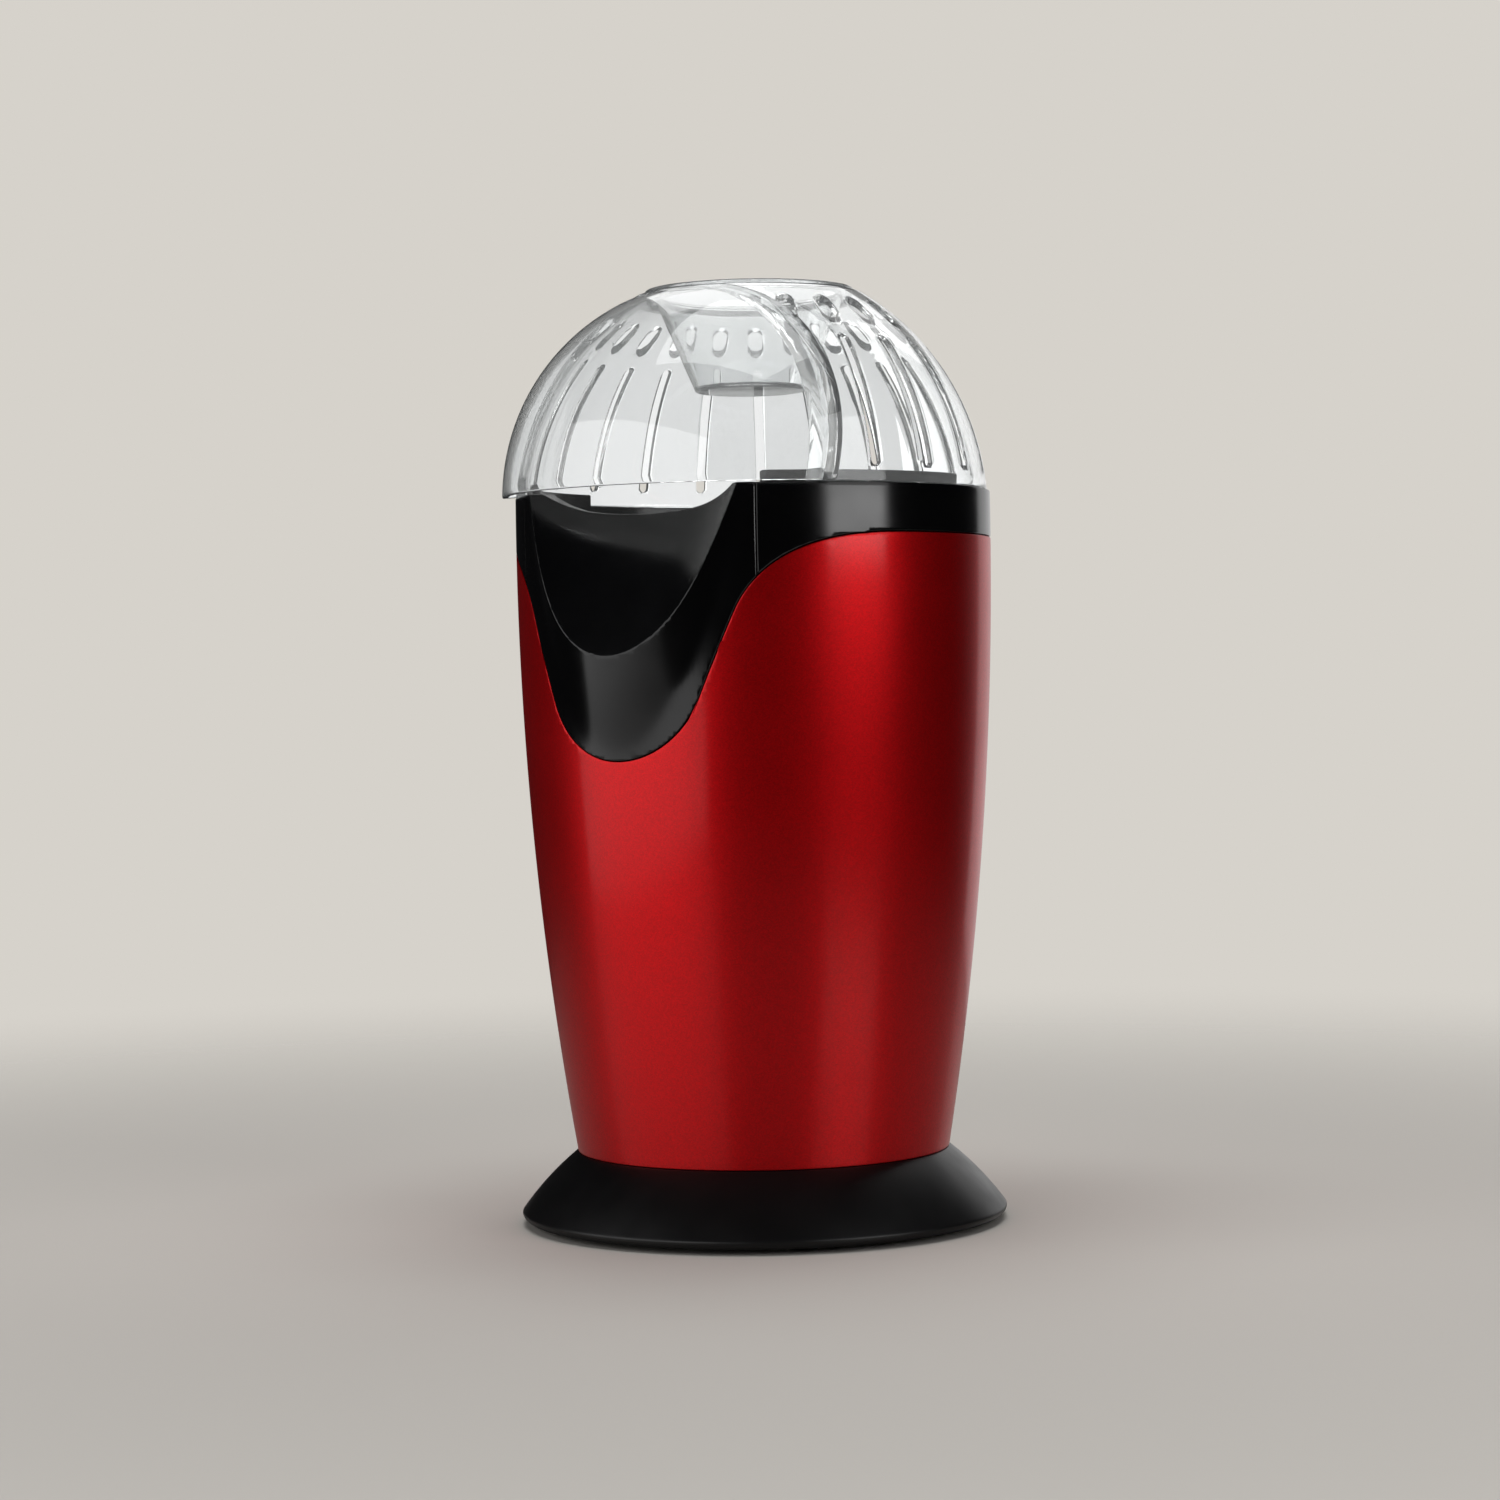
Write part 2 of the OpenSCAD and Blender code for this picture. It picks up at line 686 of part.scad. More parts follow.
module popping_chamber() {
    t = chamber_t;
    color([0.78, 0.78, 0.78]) {
        difference() {
            rotate_extrude() polygon([
                [0, chamber_z + chamber_cone_h], [chamber_r + t, chamber_z],
                [chamber_r + t, chamber_flange_z], [chamber_flange_r, chamber_flange_z],
                [chamber_flange_r, chamber_flange_z + t], [chamber_r, chamber_flange_z + t],
                [chamber_r, chamber_z + t], [0, chamber_z + chamber_cone_h + t]]);
            on_circle(louvres, chamber_r) translate([0, 0, louvre_z]) rotate([louvre_lean, 0, 0])
                cube([10 * t, louvre_w, louvre_l], center = true);
        }
        // vanes bent inwards along one edge of each louvre
        on_circle(louvres, chamber_r) translate([0, 0, louvre_z]) rotate([louvre_lean, 0, 0])
            translate([-vane_w, louvre_w / 2, -louvre_l / 2]) cube([vane_w + t / 2, t, louvre_l]);
    }
}

ear_t = 1.2;
ear_half_w = 6;
ear_root = 3;
ear_r = collar_boss_circle_r + 5;

module heater_housing() {
    color([0.62, 0.63, 0.65]) difference() {
        union() {
            translate([0, 0, heater_z]) ring(heater_r + heater_t, heater_r, heater_h);
            for (i = [0 : 3]) rotate(45 + 90 * i) difference() {
                translate([heater_r - ear_root, -ear_half_w, ear_z - ear_t])
                    cube([ear_r - heater_r + ear_root, 2 * ear_half_w, ear_t]);
                translate([0, 0, ear_z - ear_t - 1]) cylinder(r = heater_r + heater_t / 2, h = ear_t + 2);
            }
        }
        on_circle(4, collar_boss_circle_r, 45) translate([0, 0, ear_z - ear_t - 1])
            cylinder(r = passage_r + 0.1, h = ear_t + 2);
    }
}

module housing_screws() {
    head_h = 2;
    color([0.75, 0.75, 0.76]) on_circle(4, collar_boss_circle_r, 45)
        translate([0, 0, ear_z - ear_t - head_h])
            screw(3, head_h, head_h + ear_t + collar_boss_h - 1.5);
}

// Board with holes for the wire and a half-lap slot, open upwards or downwards
module mica_board(slot_up) {
    half = heater_r - fit;
    lap = mica_h / 2 + fit;
    difference() {
        translate([-half, -mica_t / 2, mica_z]) cube([2 * half, mica_t, mica_h]);
        for (i = [0 : coil_rings - 1]) for (s = [-1, 1])
            translate([s * (coil_in + i * coil_pitch), 0, coil_z]) rotate([90, 0, 0])
                cylinder(r = coil_r + 0.3, h = 3 * mica_t, center = true);
        translate([-mica_t / 2 - fit / 2, -mica_t, slot_up ? mica_z + mica_h - lap : mica_z - 1])
            cube([mica_t + fit, 2 * mica_t, lap + 1]);
    }
}

module mica_board_a() { color([0.75, 0.68, 0.5]) mica_board(true); }
module mica_board_b() { color([0.75, 0.68, 0.5]) rotate(90) mica_board(false); }

module heating_coils() {
    color([0.55, 0.5, 0.45]) for (i = [0 : coil_rings - 1])
        rotate_extrude() translate([coil_in + i * coil_pitch, coil_z]) circle(r = coil_r, $fn = 32);
}

thermostat_rise = 40;
thermostat_z = heater_z + thermostat_rise;
plate = [1, 22, 8];
cap_r = 7.5;
cap_h = 6;
tab = [5, 0.8, 3.2];

module thermostat() {
    color([0.3, 0.28, 0.25]) translate([heater_r + heater_t + fit / 2, 0, thermostat_z]) {
        translate([0, -plate[1] / 2, -plate[2] / 2]) cube(plate);
        translate([plate[0] - 0.1, 0, 0]) rotate([0, 90, 0]) cylinder(r = cap_r, h = cap_h);
        for (s = [-1, 1]) translate([plate[0] + cap_h - fit, s * 3.5 - tab[1] / 2, -tab[2] / 2])
            cube(tab);
    }
}

fuse_r = 2;
fuse_h = 14;
fuse_lead_r = 0.6;
fuse_lead_h = 8;

module thermal_fuse() {
    color([0.8, 0.8, 0.82]) rotate(55)
        translate([heater_r + heater_t + fuse_r + fit, 0, thermostat_z - 9]) {
            cylinder(r = fuse_r, h = fuse_h);
            translate([0, 0, -fuse_lead_h]) cylinder(r = fuse_lead_r, h = fuse_h + 2 * fuse_lead_h);
        }
}

// ---- fan and motor ---------------------------------------------------------

fan_case_r = heater_r + heater_t + 0.3;
blade_z = fan_case_z + fan_case_wall + 3;
fan_disc_t = 1.2;
fan_hub_h = blade_h + 4;
shaft_tail = 8;
shaft_z = motor_z - shaft_tail;
shaft_top = blade_z + fan_hub_h;
bush_r = 4.5;
bush_h = 6;
bush_seat = 5;
motor_screw_in = 9;
motor_screw_r = motor_r - motor_screw_in;

module fan_housing() {
    ledge_t = 2;
    inlets = 10;
    inlet_w = 14;
    cut_h = fan_case_wall + 2;
    color([0.16, 0.15, 0.14]) difference() {
        union() {
            translate([0, 0, fan_case_z]) ring(fan_case_r + fan_case_wall, fan_case_r, fan_case_h);
            translate([0, 0, fan_case_z]) cylinder(r = fan_case_r + 0.5, h = fan_case_wall);
            // ledge that carries the heater housing
            translate([0, 0, heater_z - ledge_t])
                ring(fan_case_r + 0.5, heater_r - 1, ledge_t - 0.1);
        }
        translate([0, 0, fan_case_z - 1]) {
            cylinder(r = bush_r + 0.6, h = cut_h);
            on_circle(2, motor_screw_r) cylinder(r = passage_r, h = cut_h);
            for (i = [0 : inlets - 1]) rotate((i + 1 / 6) * 360 / inlets)
                rotate_extrude(angle = 240 / inlets) translate([motor_r + 2, 0]) square([inlet_w, cut_h]);
        }
    }
}

module fan_impeller() {
    hub_r = 6;
    blade_t = 1.2;
    bend_r = fan_r * 0.65;
    color([0.8, 0.8, 0.78]) difference() {
        union() {
            translate([0, 0, blade_z + blade_h - 0.01]) cylinder(r = fan_r, h = fan_disc_t);
            translate([0, 0, blade_z]) cylinder(r = hub_r, h = fan_hub_h);
            intersection() {
                translate([0, 0, blade_z]) ring(fan_r, fan_r * 0.45, blade_h);
                on_circle(blades, fan_r * 0.72) rotate(40) translate([0, bend_r, blade_z])
                    difference() {
                        cylinder(r = bend_r, h = blade_h);
                        translate([0, 0, -1]) cylinder(r = bend_r - blade_t, h = blade_h + 2);
                        translate([-big / 2, 0, -1]) cube([big, big, blade_h + 2]);
                    }
            }
        }
        translate([0, 0, blade_z - 1]) cylinder(r = shaft_r, h = fan_hub_h + 2);
    }
}

module motor_shaft() {
    color([0.7, 0.7, 0.72]) translate([0, 0, shaft_z]) cylinder(r = shaft_r, h = shaft_top - shaft_z);
}

can_t = 1.2;
press_gap = 0.02;

module motor_can() {
    color([0.7, 0.7, 0.72]) difference() {
        translate([0, 0, motor_z]) cylinder(r = motor_r, h = motor_h - 0.1);
        translate([0, 0, motor_z - 1]) cylinder(r = motor_r - can_t, h = motor_h - can_t + 0.9);
        translate([0, 0, motor_top - bush_seat]) {
            cylinder(r = bush_r + press_gap, h = 2 * bush_seat);
            on_circle(2, motor_screw_r) cylinder(r = pilot_r, h = 2 * bush_seat);
        }
    }
}

magnet_r = motor_r - can_t - 0.1;
magnet_t = 2.6;
magnet_rise = 9;
magnet_room = 6;
magnet_z = motor_z + magnet_rise;
magnet_h = motor_h - magnet_rise - magnet_room;
magnet_turn = 140;

module motor_magnets() {
    color([0.2, 0.2, 0.21]) for (a = [20, 200]) rotate(a) translate([0, 0, magnet_z])
        rotate_extrude(angle = magnet_turn) translate([magnet_r - magnet_t, 0])
            square([magnet_t, magnet_h]);
}

poles = 5;
core_r = magnet_r - magnet_t - 0.6;
core_rise = 12;
core_z = motor_z + core_rise;
winding_end = 3.6;
winding_in = 3;
winding_gap = 0.4;
core_h = motor_top - bush_seat - winding_end - winding_gap - core_z;
pole_slot_r = 3.2;
pole_slot_in = 7;
pole_slot_circle_r = core_r - pole_slot_in;
pole_gap = 1.6;

module rotor_core() {
    color([0.45, 0.45, 0.47]) difference() {
        translate([0, 0, core_z]) cylinder(r = core_r, h = core_h);
        translate([0, 0, core_z - 1]) {
            cylinder(r = shaft_r, h = core_h + 2);
            on_circle(poles, pole_slot_circle_r) {
                translate([2, -pole_gap / 2, 0]) cube([core_r, pole_gap, core_h + 2]);
                cylinder(r = pole_slot_r, h = core_h + 2);
            }
        }
    }
}

module rotor_windings() {
    color([0.72, 0.4, 0.2]) {
        for (z = [core_z - winding_end, core_z + core_h]) translate([0, 0, z])
            ring(core_r - winding_in, shaft_r, winding_end);
        on_circle(poles, pole_slot_circle_r) translate([0, 0, core_z - 0.1])
            cylinder(r = pole_slot_r - 0.3, h = core_h + 0.2);
    }
}

commutator_r = 4.5;
commutator_h = 5;
commutator_z = core_z - winding_end - commutator_h;
commutator_cut = [2, 0.5, commutator_h + 2];
brush = [6.5, 3.6, 3];

module commutator() {
    color([0.75, 0.45, 0.22]) translate([0, 0, commutator_z]) difference() {
        ring(commutator_r, shaft_r, commutator_h);
        on_circle(poles, commutator_r - 0.8) translate([0, -commutator_cut[1] / 2, -1]) cube(commutator_cut);
    }
}

module brush_blocks() {
    color([0.15, 0.15, 0.16]) for (s = [0, 180]) rotate(s)
        translate([commutator_r + 0.1, -brush[1] / 2, commutator_z + 0.6]) cube(brush);
}

module bush() {
    ring(bush_r, shaft_r + running_gap, bush_h);
}

module upper_bush() { color([0.7, 0.55, 0.3]) translate([0, 0, motor_top - bush_seat]) bush(); }
module lower_bush() { color([0.7, 0.55, 0.3]) translate([0, 0, motor_z - bush_seat]) bush(); }

cap_t = 3;
cap_rim_h = 4;
cap_rim_t = 1.7;

module motor_end_cap() {
    holder_in = commutator_r + 1.5;
    holder_w = brush[1] + 2.8;
    holder_h = commutator_z + commutator_h - motor_z - 0.3;
    color([0.85, 0.85, 0.8]) difference() {
        union() {
            translate([0, 0, motor_z - cap_t]) cylinder(r = motor_r, h = cap_t - 0.1);
            translate([0, 0, motor_z - fit]) ring(magnet_r, magnet_r - cap_rim_t, cap_rim_h);
            translate([0, 0, motor_z - bush_seat]) cylinder(r = bush_r + 2, h = bush_h);
            for (s = [0, 180]) rotate(s) translate([holder_in, -holder_w / 2, motor_z - fit])
                cube([magnet_r - 1.4 - holder_in, holder_w, holder_h]);
        }
        translate([0, 0, motor_z - bush_h]) cylinder(r = bush_r + press_gap, h = 2 * bush_h);
        for (s = [0, 180]) rotate(s)
            translate([commutator_r, -brush[1] / 2 - fit / 2, commutator_z + 0.5])
                cube(brush + [0.3, fit, fit]);
    }
}

module motor_screws() {
    grip = 4;
    head_r = 2.6;
    head_h = 1.6;
    color([0.75, 0.75, 0.76]) on_circle(2, motor_screw_r) translate([0, 0, motor_top - grip]) {
        cylinder(r = thread_r, h = grip + fan_case_wall + 0.5);
        translate([0, 0, grip + fan_case_wall]) cylinder(r = head_r, h = head_h);
    }
}

board_t = 1.4;
board_gap = 2.1;
board_z = motor_z - cap_t - board_gap - board_t;
post_r = 2;
post_in = 5;

module rectifier_board() {
    color([0.5, 0.4, 0.15]) {
        difference() {
            translate([0, 0, board_z]) cylinder(r = motor_r - 1, h = board_t);
            translate([0, 0, board_z - 1]) cylinder(r = bush_r + 2.6, h = board_t + 2);
        }
        on_circle(2, motor_r - post_in, 90) translate([0, 0, board_z + board_t - 0.1])
            cylinder(r = post_r, h = board_gap + 0.1);
    }
}

diode_r = 1.5;
diode_l = 5.5;
diode_lead = [0.8, 2.6, 0.8];
diode_in = 8;
diode_pitch = 8;

module rectifier_diodes() {
    color([0.1, 0.1, 0.1]) for (s = [-1, 1]) for (t = [-1, 1])
        translate([t * diode_pitch / 2, s * (motor_r - diode_in), board_z - diode_lead[1]])
        rotate([90, 0, 0]) {
            cylinder(r = diode_r, h = diode_l, center = true);
            for (e = [-1, 1]) translate([0, diode_lead[1] / 2, e * (diode_l / 2 + 0.65)])
                cube(diode_lead, center = true);
        }
}

module terminal_block() {
    block = [26, 12, 11];
    pitch = 8;
    behind_gland = 14;
    color([0.9, 0.9, 0.86]) translate([0, gland_inner - behind_gland, cover_top]) difference() {
        translate([-block[0] / 2, -block[1] / 2, 0]) cube(block);
        for (i = [-1 : 1]) translate([i * pitch, 0, 0]) {
            translate([0, 0, 3]) cylinder(r = 2.2, h = block[2]);
            translate([0, 0, 5]) rotate([90, 0, 0]) cylinder(r = 1.6, h = 2 * block[1], center = true);
        }
    }
}

// ---- switch ----------------------------------------------------------------

switch_z = body_z + switch_rise;
switch_body = [switch_w - 2, 26, switch_h - 2.6];
bezel_t = 1.5;
pivot_in = 3;
pivot_r = 1.2;
rocker_w = switch_w - 5;
rocker_h = switch_h - 6;
rocker_gap = 0.3;

// Frame on the back of the shell: Y is the outward normal
module switch_frame() {
    translate([0, body_r_at(switch_z), switch_z]) rotate([-body_lean_at(switch_z), 0, 0]) children();
}

module switch_housing() {
    depth = switch_body[1] / 2;
    well = 9;
    spade = [0.8, 7, 4.8];
    spade_pitch = 6.4;
    color([0.06, 0.06, 0.06]) switch_frame() difference() {
        union() {
            translate([-switch_w / 2, 0.15, -switch_h / 2]) cube([switch_w, bezel_t, switch_h]);
            translate([-switch_body[0] / 2, -depth, -switch_body[2] / 2])
                cube([switch_body[0], depth + 0.5, switch_body[2]]);
            for (s = [-1, 1]) translate([s * spade_pitch / 2 - spade[0] / 2, -depth - 6, -spade[2] / 2])
                cube(spade);
        }
        translate([-rocker_w / 2 - rocker_gap, -well, -rocker_h / 2 - 0.5])
            cube([rocker_w + 2 * rocker_gap, 2 * well, rocker_h + 1]);
        translate([0, -pivot_in, 0]) rotate([0, 90, 0])
            cylinder(r = pivot_r + running_gap, h = rocker_w + 2.2, center = true);
    }
}

// Rocker at its off stop: the lower end stands out
module switch_rocker() {
    half = rocker_h / 2;
    crown = 2.6;
    color([0.04, 0.04, 0.04]) switch_frame() translate([0, -pivot_in, 0]) rotate([-rocker_tilt, 0, 0]) {
        rotate([90, 0, 90]) translate([0, 0, -rocker_w / 2]) linear_extrude(rocker_w)
            polygon([[-2, -half + 1.5], [pivot_in + crown, -half + 0.4], [pivot_in + 0.8, 0],
                     [pivot_in + crown, half - 0.4], [-2, half - 1.5]]);
        rotate([0, 90, 0]) cylinder(r = pivot_r, h = rocker_w + 1.8, center = true);
    }
}

rubber_feet();
bottom_cover();
cover_screws();
base_skirt();
cord_gland();
terminal_block();
outer_shell();
top_collar();
front_chute();
hood();
measuring_cup();
chamber_gasket();
popping_chamber();
heater_housing();
housing_screws();
mica_board_a();
mica_board_b();
heating_coils();
thermostat();
thermal_fuse();
fan_housing();
fan_impeller();
motor_shaft();
motor_can();
motor_magnets();
rotor_core();
rotor_windings();
commutator();
brush_blocks();
upper_bush();
lower_bush();
motor_end_cap();
motor_screws();
rectifier_board();
rectifier_diodes();
switch_housing();
switch_rocker();
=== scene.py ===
"""Looks of a hot-air popcorn maker.

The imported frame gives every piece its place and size. This script models the pieces that
show once more, with round edges and fine surfaces, and gives them and all inner pieces
their finish. Lengths are in metres, +Z is up and the front of the machine faces -Y.
"""

import logging
import math
from dataclasses import dataclass
from enum import Enum

import bpy
from mathutils import Matrix, Vector
from mathutils.bvhtree import BVHTree

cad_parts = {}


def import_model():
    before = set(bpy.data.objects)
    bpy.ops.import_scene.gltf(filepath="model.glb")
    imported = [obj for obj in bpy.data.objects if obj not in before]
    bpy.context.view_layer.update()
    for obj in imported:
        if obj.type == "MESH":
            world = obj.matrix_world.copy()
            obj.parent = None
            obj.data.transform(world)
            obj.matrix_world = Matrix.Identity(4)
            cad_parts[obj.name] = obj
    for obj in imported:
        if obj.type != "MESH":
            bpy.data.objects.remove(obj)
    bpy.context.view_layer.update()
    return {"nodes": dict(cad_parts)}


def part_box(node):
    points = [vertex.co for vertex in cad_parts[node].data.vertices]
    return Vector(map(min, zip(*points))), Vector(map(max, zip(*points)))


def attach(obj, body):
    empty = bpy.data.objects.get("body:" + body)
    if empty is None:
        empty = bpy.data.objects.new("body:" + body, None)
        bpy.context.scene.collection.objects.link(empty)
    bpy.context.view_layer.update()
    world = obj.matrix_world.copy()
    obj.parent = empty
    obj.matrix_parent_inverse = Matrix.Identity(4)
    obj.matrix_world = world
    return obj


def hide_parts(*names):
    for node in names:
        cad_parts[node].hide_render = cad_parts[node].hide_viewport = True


LOG = logging.getLogger("popcorn_maker")
MM = 0.001

Ring = tuple[float, float]
Triple = tuple[float, float, float]
Socket = bpy.types.NodeSocket
Tree = bpy.types.NodeTree
Node = bpy.types.Node
Object = bpy.types.Object

# Places of the colour sockets on Blender's Mix node
MIX_FACTOR, MIX_A, MIX_B, MIX_RESULT = 0, 6, 7, 2
# Values between which a noise pattern mostly stays
NOISE_LOW, NOISE_HIGH = 0.3, 0.7
# Points closer than this become one before edges are rounded
WELD = 0.02 * MM
# A rounding may stand this far off its solid before its point is put back
STRAY = 0.03 * MM


# ---- colours and nodes -------------------------------------------------------


def linear(code: str) -> tuple[float, float, float, float]:
    """Turn a colour written as sRGB hex into linear RGBA.

    Args:
        code: A hash and six hex digits.

    Returns:
        Red, green, blue and an alpha of 1.
    """
    parts = [int(code.lstrip("#")[i : i + 2], 16) / 255 for i in (0, 2, 4)]
    red, green, blue = (c / 12.92 if c <= 0.04045 else ((c + 0.055) / 1.055) ** 2.4 for c in parts)
    return red, green, blue, 1.0


def add_node(tree: Tree, kind: str, inputs: dict | None = None, **settings: object) -> Node:
    """Add a node with its settings and links.

    Args:
        tree: Node tree that gets the node.
        kind: Type of the node.
        inputs: Value or feeding socket for each input, by name or place.
        settings: Properties of the node.

    Returns:
        The new node.
    """
    node = tree.nodes.new(kind)
    for key, value in settings.items():
        setattr(node, key, value)
    for key, value in (inputs or {}).items():
        if isinstance(value, Socket):
            tree.links.new(value, node.inputs[key])
        else:
            node.inputs[key].default_value = value
    return node


# ---- finishes ----------------------------------------------------------------


@dataclass(frozen=True)
class Finish:
    """A plain moulded surface with a fine grain, and the base of all finishes.

    The pattern is grain_mm wide and depth_mm deep. The gloss wanders by the share wear of the
    roughness, over patches of patch_mm.
    """

    name: str
    colour: str
    roughness: float
    metallic: float = 0.0
    ior: float = 1.5
    grain_mm: float = 0.5
    depth_mm: float = 0.01
    wear: float = 0.1
    patch_mm: float = 11.0

    def material(self) -> bpy.types.Material:
        """Make this finish's material, or find it where it has been made before.

        Returns:
            The material.
        """
        made = bpy.data.materials.get(self.name)
        if made:
            return made
        made = bpy.data.materials.new(self.name)
        made.use_nodes = True
        tree = made.node_tree
        tree.nodes.clear()
        shader = add_node(
            tree,
            "ShaderNodeBsdfPrincipled",
            {
                "Base Color": linear(self.colour),
                "Roughness": self.roughness,
                "Metallic": self.metallic,
                "IOR": self.ior,
            },
        )
        self.texture(tree, shader)
        add_node(tree, "ShaderNodeOutputMaterial", {"Surface": self.surface(tree, shader)})
        return made

    def place(self, tree: Tree, stretch: Triple = (1.0, 1.0, 1.0)) -> Socket:
        """Return Object coordinates, scaled along each axis.

        Args:
            tree: The material's node tree.
            stretch: Factor on the coordinates along X, Y and Z.

        Returns:
            Vector socket for a pattern.
        """
        spot = add_node(tree, "ShaderNodeTexCoord").outputs["Object"]
        return add_node(tree, "ShaderNodeMapping", {"Vector": spot, "Scale": stretch}).outputs["Vector"]

    def vary_gloss(self, tree: Tree, shader: Node) -> None:
        """Let the gloss wander a little from patch to patch, as moulding and handling leave it.

        Args:
            tree: The material's node tree.
            shader: Its Principled node.
        """
        patches = add_node(
            tree,
            "ShaderNodeTexNoise",
            {"Vector": self.place(tree), "Scale": 1 / (self.patch_mm * MM), "Detail": 3.0},
        )
        spread = self.wear * self.roughness
        gloss = add_node(
            tree,
            "ShaderNodeMapRange",
            {
                "Value": patches.outputs["Fac"],
                "From Min": NOISE_LOW,
                "From Max": NOISE_HIGH,
                "To Min": self.roughness - spread,
                "To Max": self.roughness + spread,
            },
        )
        tree.links.new(gloss.outputs["Result"], shader.inputs["Roughness"])

    def emboss(self, tree: Tree, shader: Node, height: Socket, depth_mm: float) -> None:
        """Bend the surface by a height pattern.

        Args:
            tree: The material's node tree.
            shader: Its Principled node.
            height: Pattern from 0 to 1.
            depth_mm: Depth of the pattern.
        """
        bump = add_node(tree, "ShaderNodeBump", {"Height": height, "Distance": depth_mm * MM})
        tree.links.new(bump.outputs["Normal"], shader.inputs["Normal"])

    def tint(self, tree: Tree, shader: Node, pattern: Socket, other: str) -> None:
        """Mix another colour into the surface by a pattern.

        Args:
            tree: The material's node tree.
            shader: Its Principled node.
            pattern: Pattern from 0, where the other colour shows, to 1.
            other: The other colour, as sRGB hex.
        """
        mix = add_node(
            tree,
            "ShaderNodeMix",
            {MIX_FACTOR: pattern, MIX_A: linear(other), MIX_B: linear(self.colour)},
            data_type="RGBA",
        )
        tree.links.new(mix.outputs[MIX_RESULT], shader.inputs["Base Color"])

    def texture(self, tree: Tree, shader: Node) -> None:
        """Give the surface its fine grain and its uneven gloss.

        Args:
            tree: The material's node tree.
            shader: Its Principled node.
        """
        grain = add_node(
            tree, "ShaderNodeTexNoise", {"Vector": self.place(tree), "Scale": 1 / (self.grain_mm * MM)}
        )
        self.emboss(tree, shader, grain.outputs["Fac"], self.depth_mm)
        self.vary_gloss(tree, shader)

    def surface(self, tree: Tree, shader: Node) -> Socket:
        """Return the socket that the material shows."""
        return shader.outputs["BSDF"]

    def dress(self, *pieces: Object) -> None:
        """Give pieces this finish alone.

        Args:
            pieces: Mesh objects.
        """
        for piece in pieces:
            if not piece.material_slots:
                piece.data.materials.append(self.material())
            for slot in piece.material_slots:
                slot.material = self.material()


@dataclass(frozen=True)
class Lacquer(Finish):
    """Sprayed metallic lacquer: coloured aluminium flake under a clear coat."""

    shade: str = "#c80008"
    flake_mm: float = 0.4
    coat: float = 0.3
    coat_roughness: float = 0.12
    patch_mm: float = 30.0

    def texture(self, tree: Tree, shader: Node) -> None:
        """Scatter the flake under a smooth coat.

        Args:
            tree: The material's node tree.
            shader: Its Principled node.
        """
        shader.inputs["Coat Weight"].default_value = self.coat
        shader.inputs["Coat Roughness"].default_value = self.coat_roughness
        flake = add_node(
            tree, "ShaderNodeTexVoronoi", {"Vector": self.place(tree), "Scale": 1 / (self.flake_mm * MM)}
        )
        self.tint(tree, shader, flake.outputs["Color"], self.shade)
        self.emboss(tree, shader, flake.outputs["Distance"], self.depth_mm)
        self.vary_gloss(tree, shader)


@dataclass(frozen=True)
class ClearPlastic(Finish):
    """Clear moulded plastic: polished walls that bend light and let lamps through."""

    haze: float = 0.05
    shadow: str = "#e6e9ea"

    def texture(self, tree: Tree, shader: Node) -> None:
        """Make the walls clear, with the slow waves of a moulded wall.

        Args:
            tree: The material's node tree.
            shader: Its Principled node.
        """
        shader.inputs["Transmission Weight"].default_value = 1 - self.haze
        waves = add_node(
            tree,
            "ShaderNodeTexNoise",
            {"Vector": self.place(tree), "Scale": 1 / (self.grain_mm * MM), "Detail": 1.0},
        )
        self.emboss(tree, shader, waves.outputs["Fac"], self.depth_mm)

    def surface(self, tree: Tree, shader: Node) -> Socket:
        """Let lamps shine through, where glass alone would throw a black shadow.

        Args:
            tree: The material's node tree.
            shader: Its Principled node.

        Returns:
            Shader socket that the material shows.
        """
        ray = add_node(tree, "ShaderNodeLightPath")
        window = add_node(tree, "ShaderNodeBsdfTransparent", {"Color": linear(self.shadow)})
        shown = add_node(
            tree,
            "ShaderNodeMixShader",
            {0: ray.outputs["Is Shadow Ray"], 1: shader.outputs["BSDF"], 2: window.outputs["BSDF"]},
        )
        return shown.outputs["Shader"]


class Grain(Enum):
    """How a metal's surface was left: the stretch of its pattern along X, Y and Z."""

    DRAWN = (1.0, 1.0, 0.04)
    ROLLED = (0.05, 0.05, 1.0)
    STACKED = (0.02, 0.02, 1.0)
    TUMBLED = (1.0, 1.0, 1.0)


@dataclass(frozen=True)
class Metal(Finish):
    """Bare metal with the lines or specks that its making leaves."""

    metallic: float = 1.0
    grain: Grain = Grain.TUMBLED
    tarnish: str = "#6e6a66"

    def texture(self, tree: Tree, shader: Node) -> None:
        """Draw the grain in height, tint and gloss.

        Args:
            tree: The material's node tree.
            shader: Its Principled node.
        """
        lines = add_node(
            tree,
            "ShaderNodeTexNoise",
            {"Vector": self.place(tree, self.grain.value), "Scale": 1 / (self.grain_mm * MM), "Detail": 3.0},
        )
        self.tint(tree, shader, lines.outputs["Fac"], self.tarnish)
        self.emboss(tree, shader, lines.outputs["Fac"], self.depth_mm)
        self.vary_gloss(tree, shader)


@dataclass(frozen=True)
class Spangle(Metal):
    """Zinc plate: crystals of different grey, each a few millimetres wide."""

    def texture(self, tree: Tree, shader: Node) -> None:
        """Spread the zinc crystals.

        Args:
            tree: The material's node tree.
            shader: Its Principled node.
        """
        crystals = add_node(
            tree, "ShaderNodeTexVoronoi", {"Vector": self.place(tree), "Scale": 1 / (self.grain_mm * MM)}
        )
        self.tint(tree, shader, crystals.outputs["Color"], self.tarnish)
        self.vary_gloss(tree, shader)


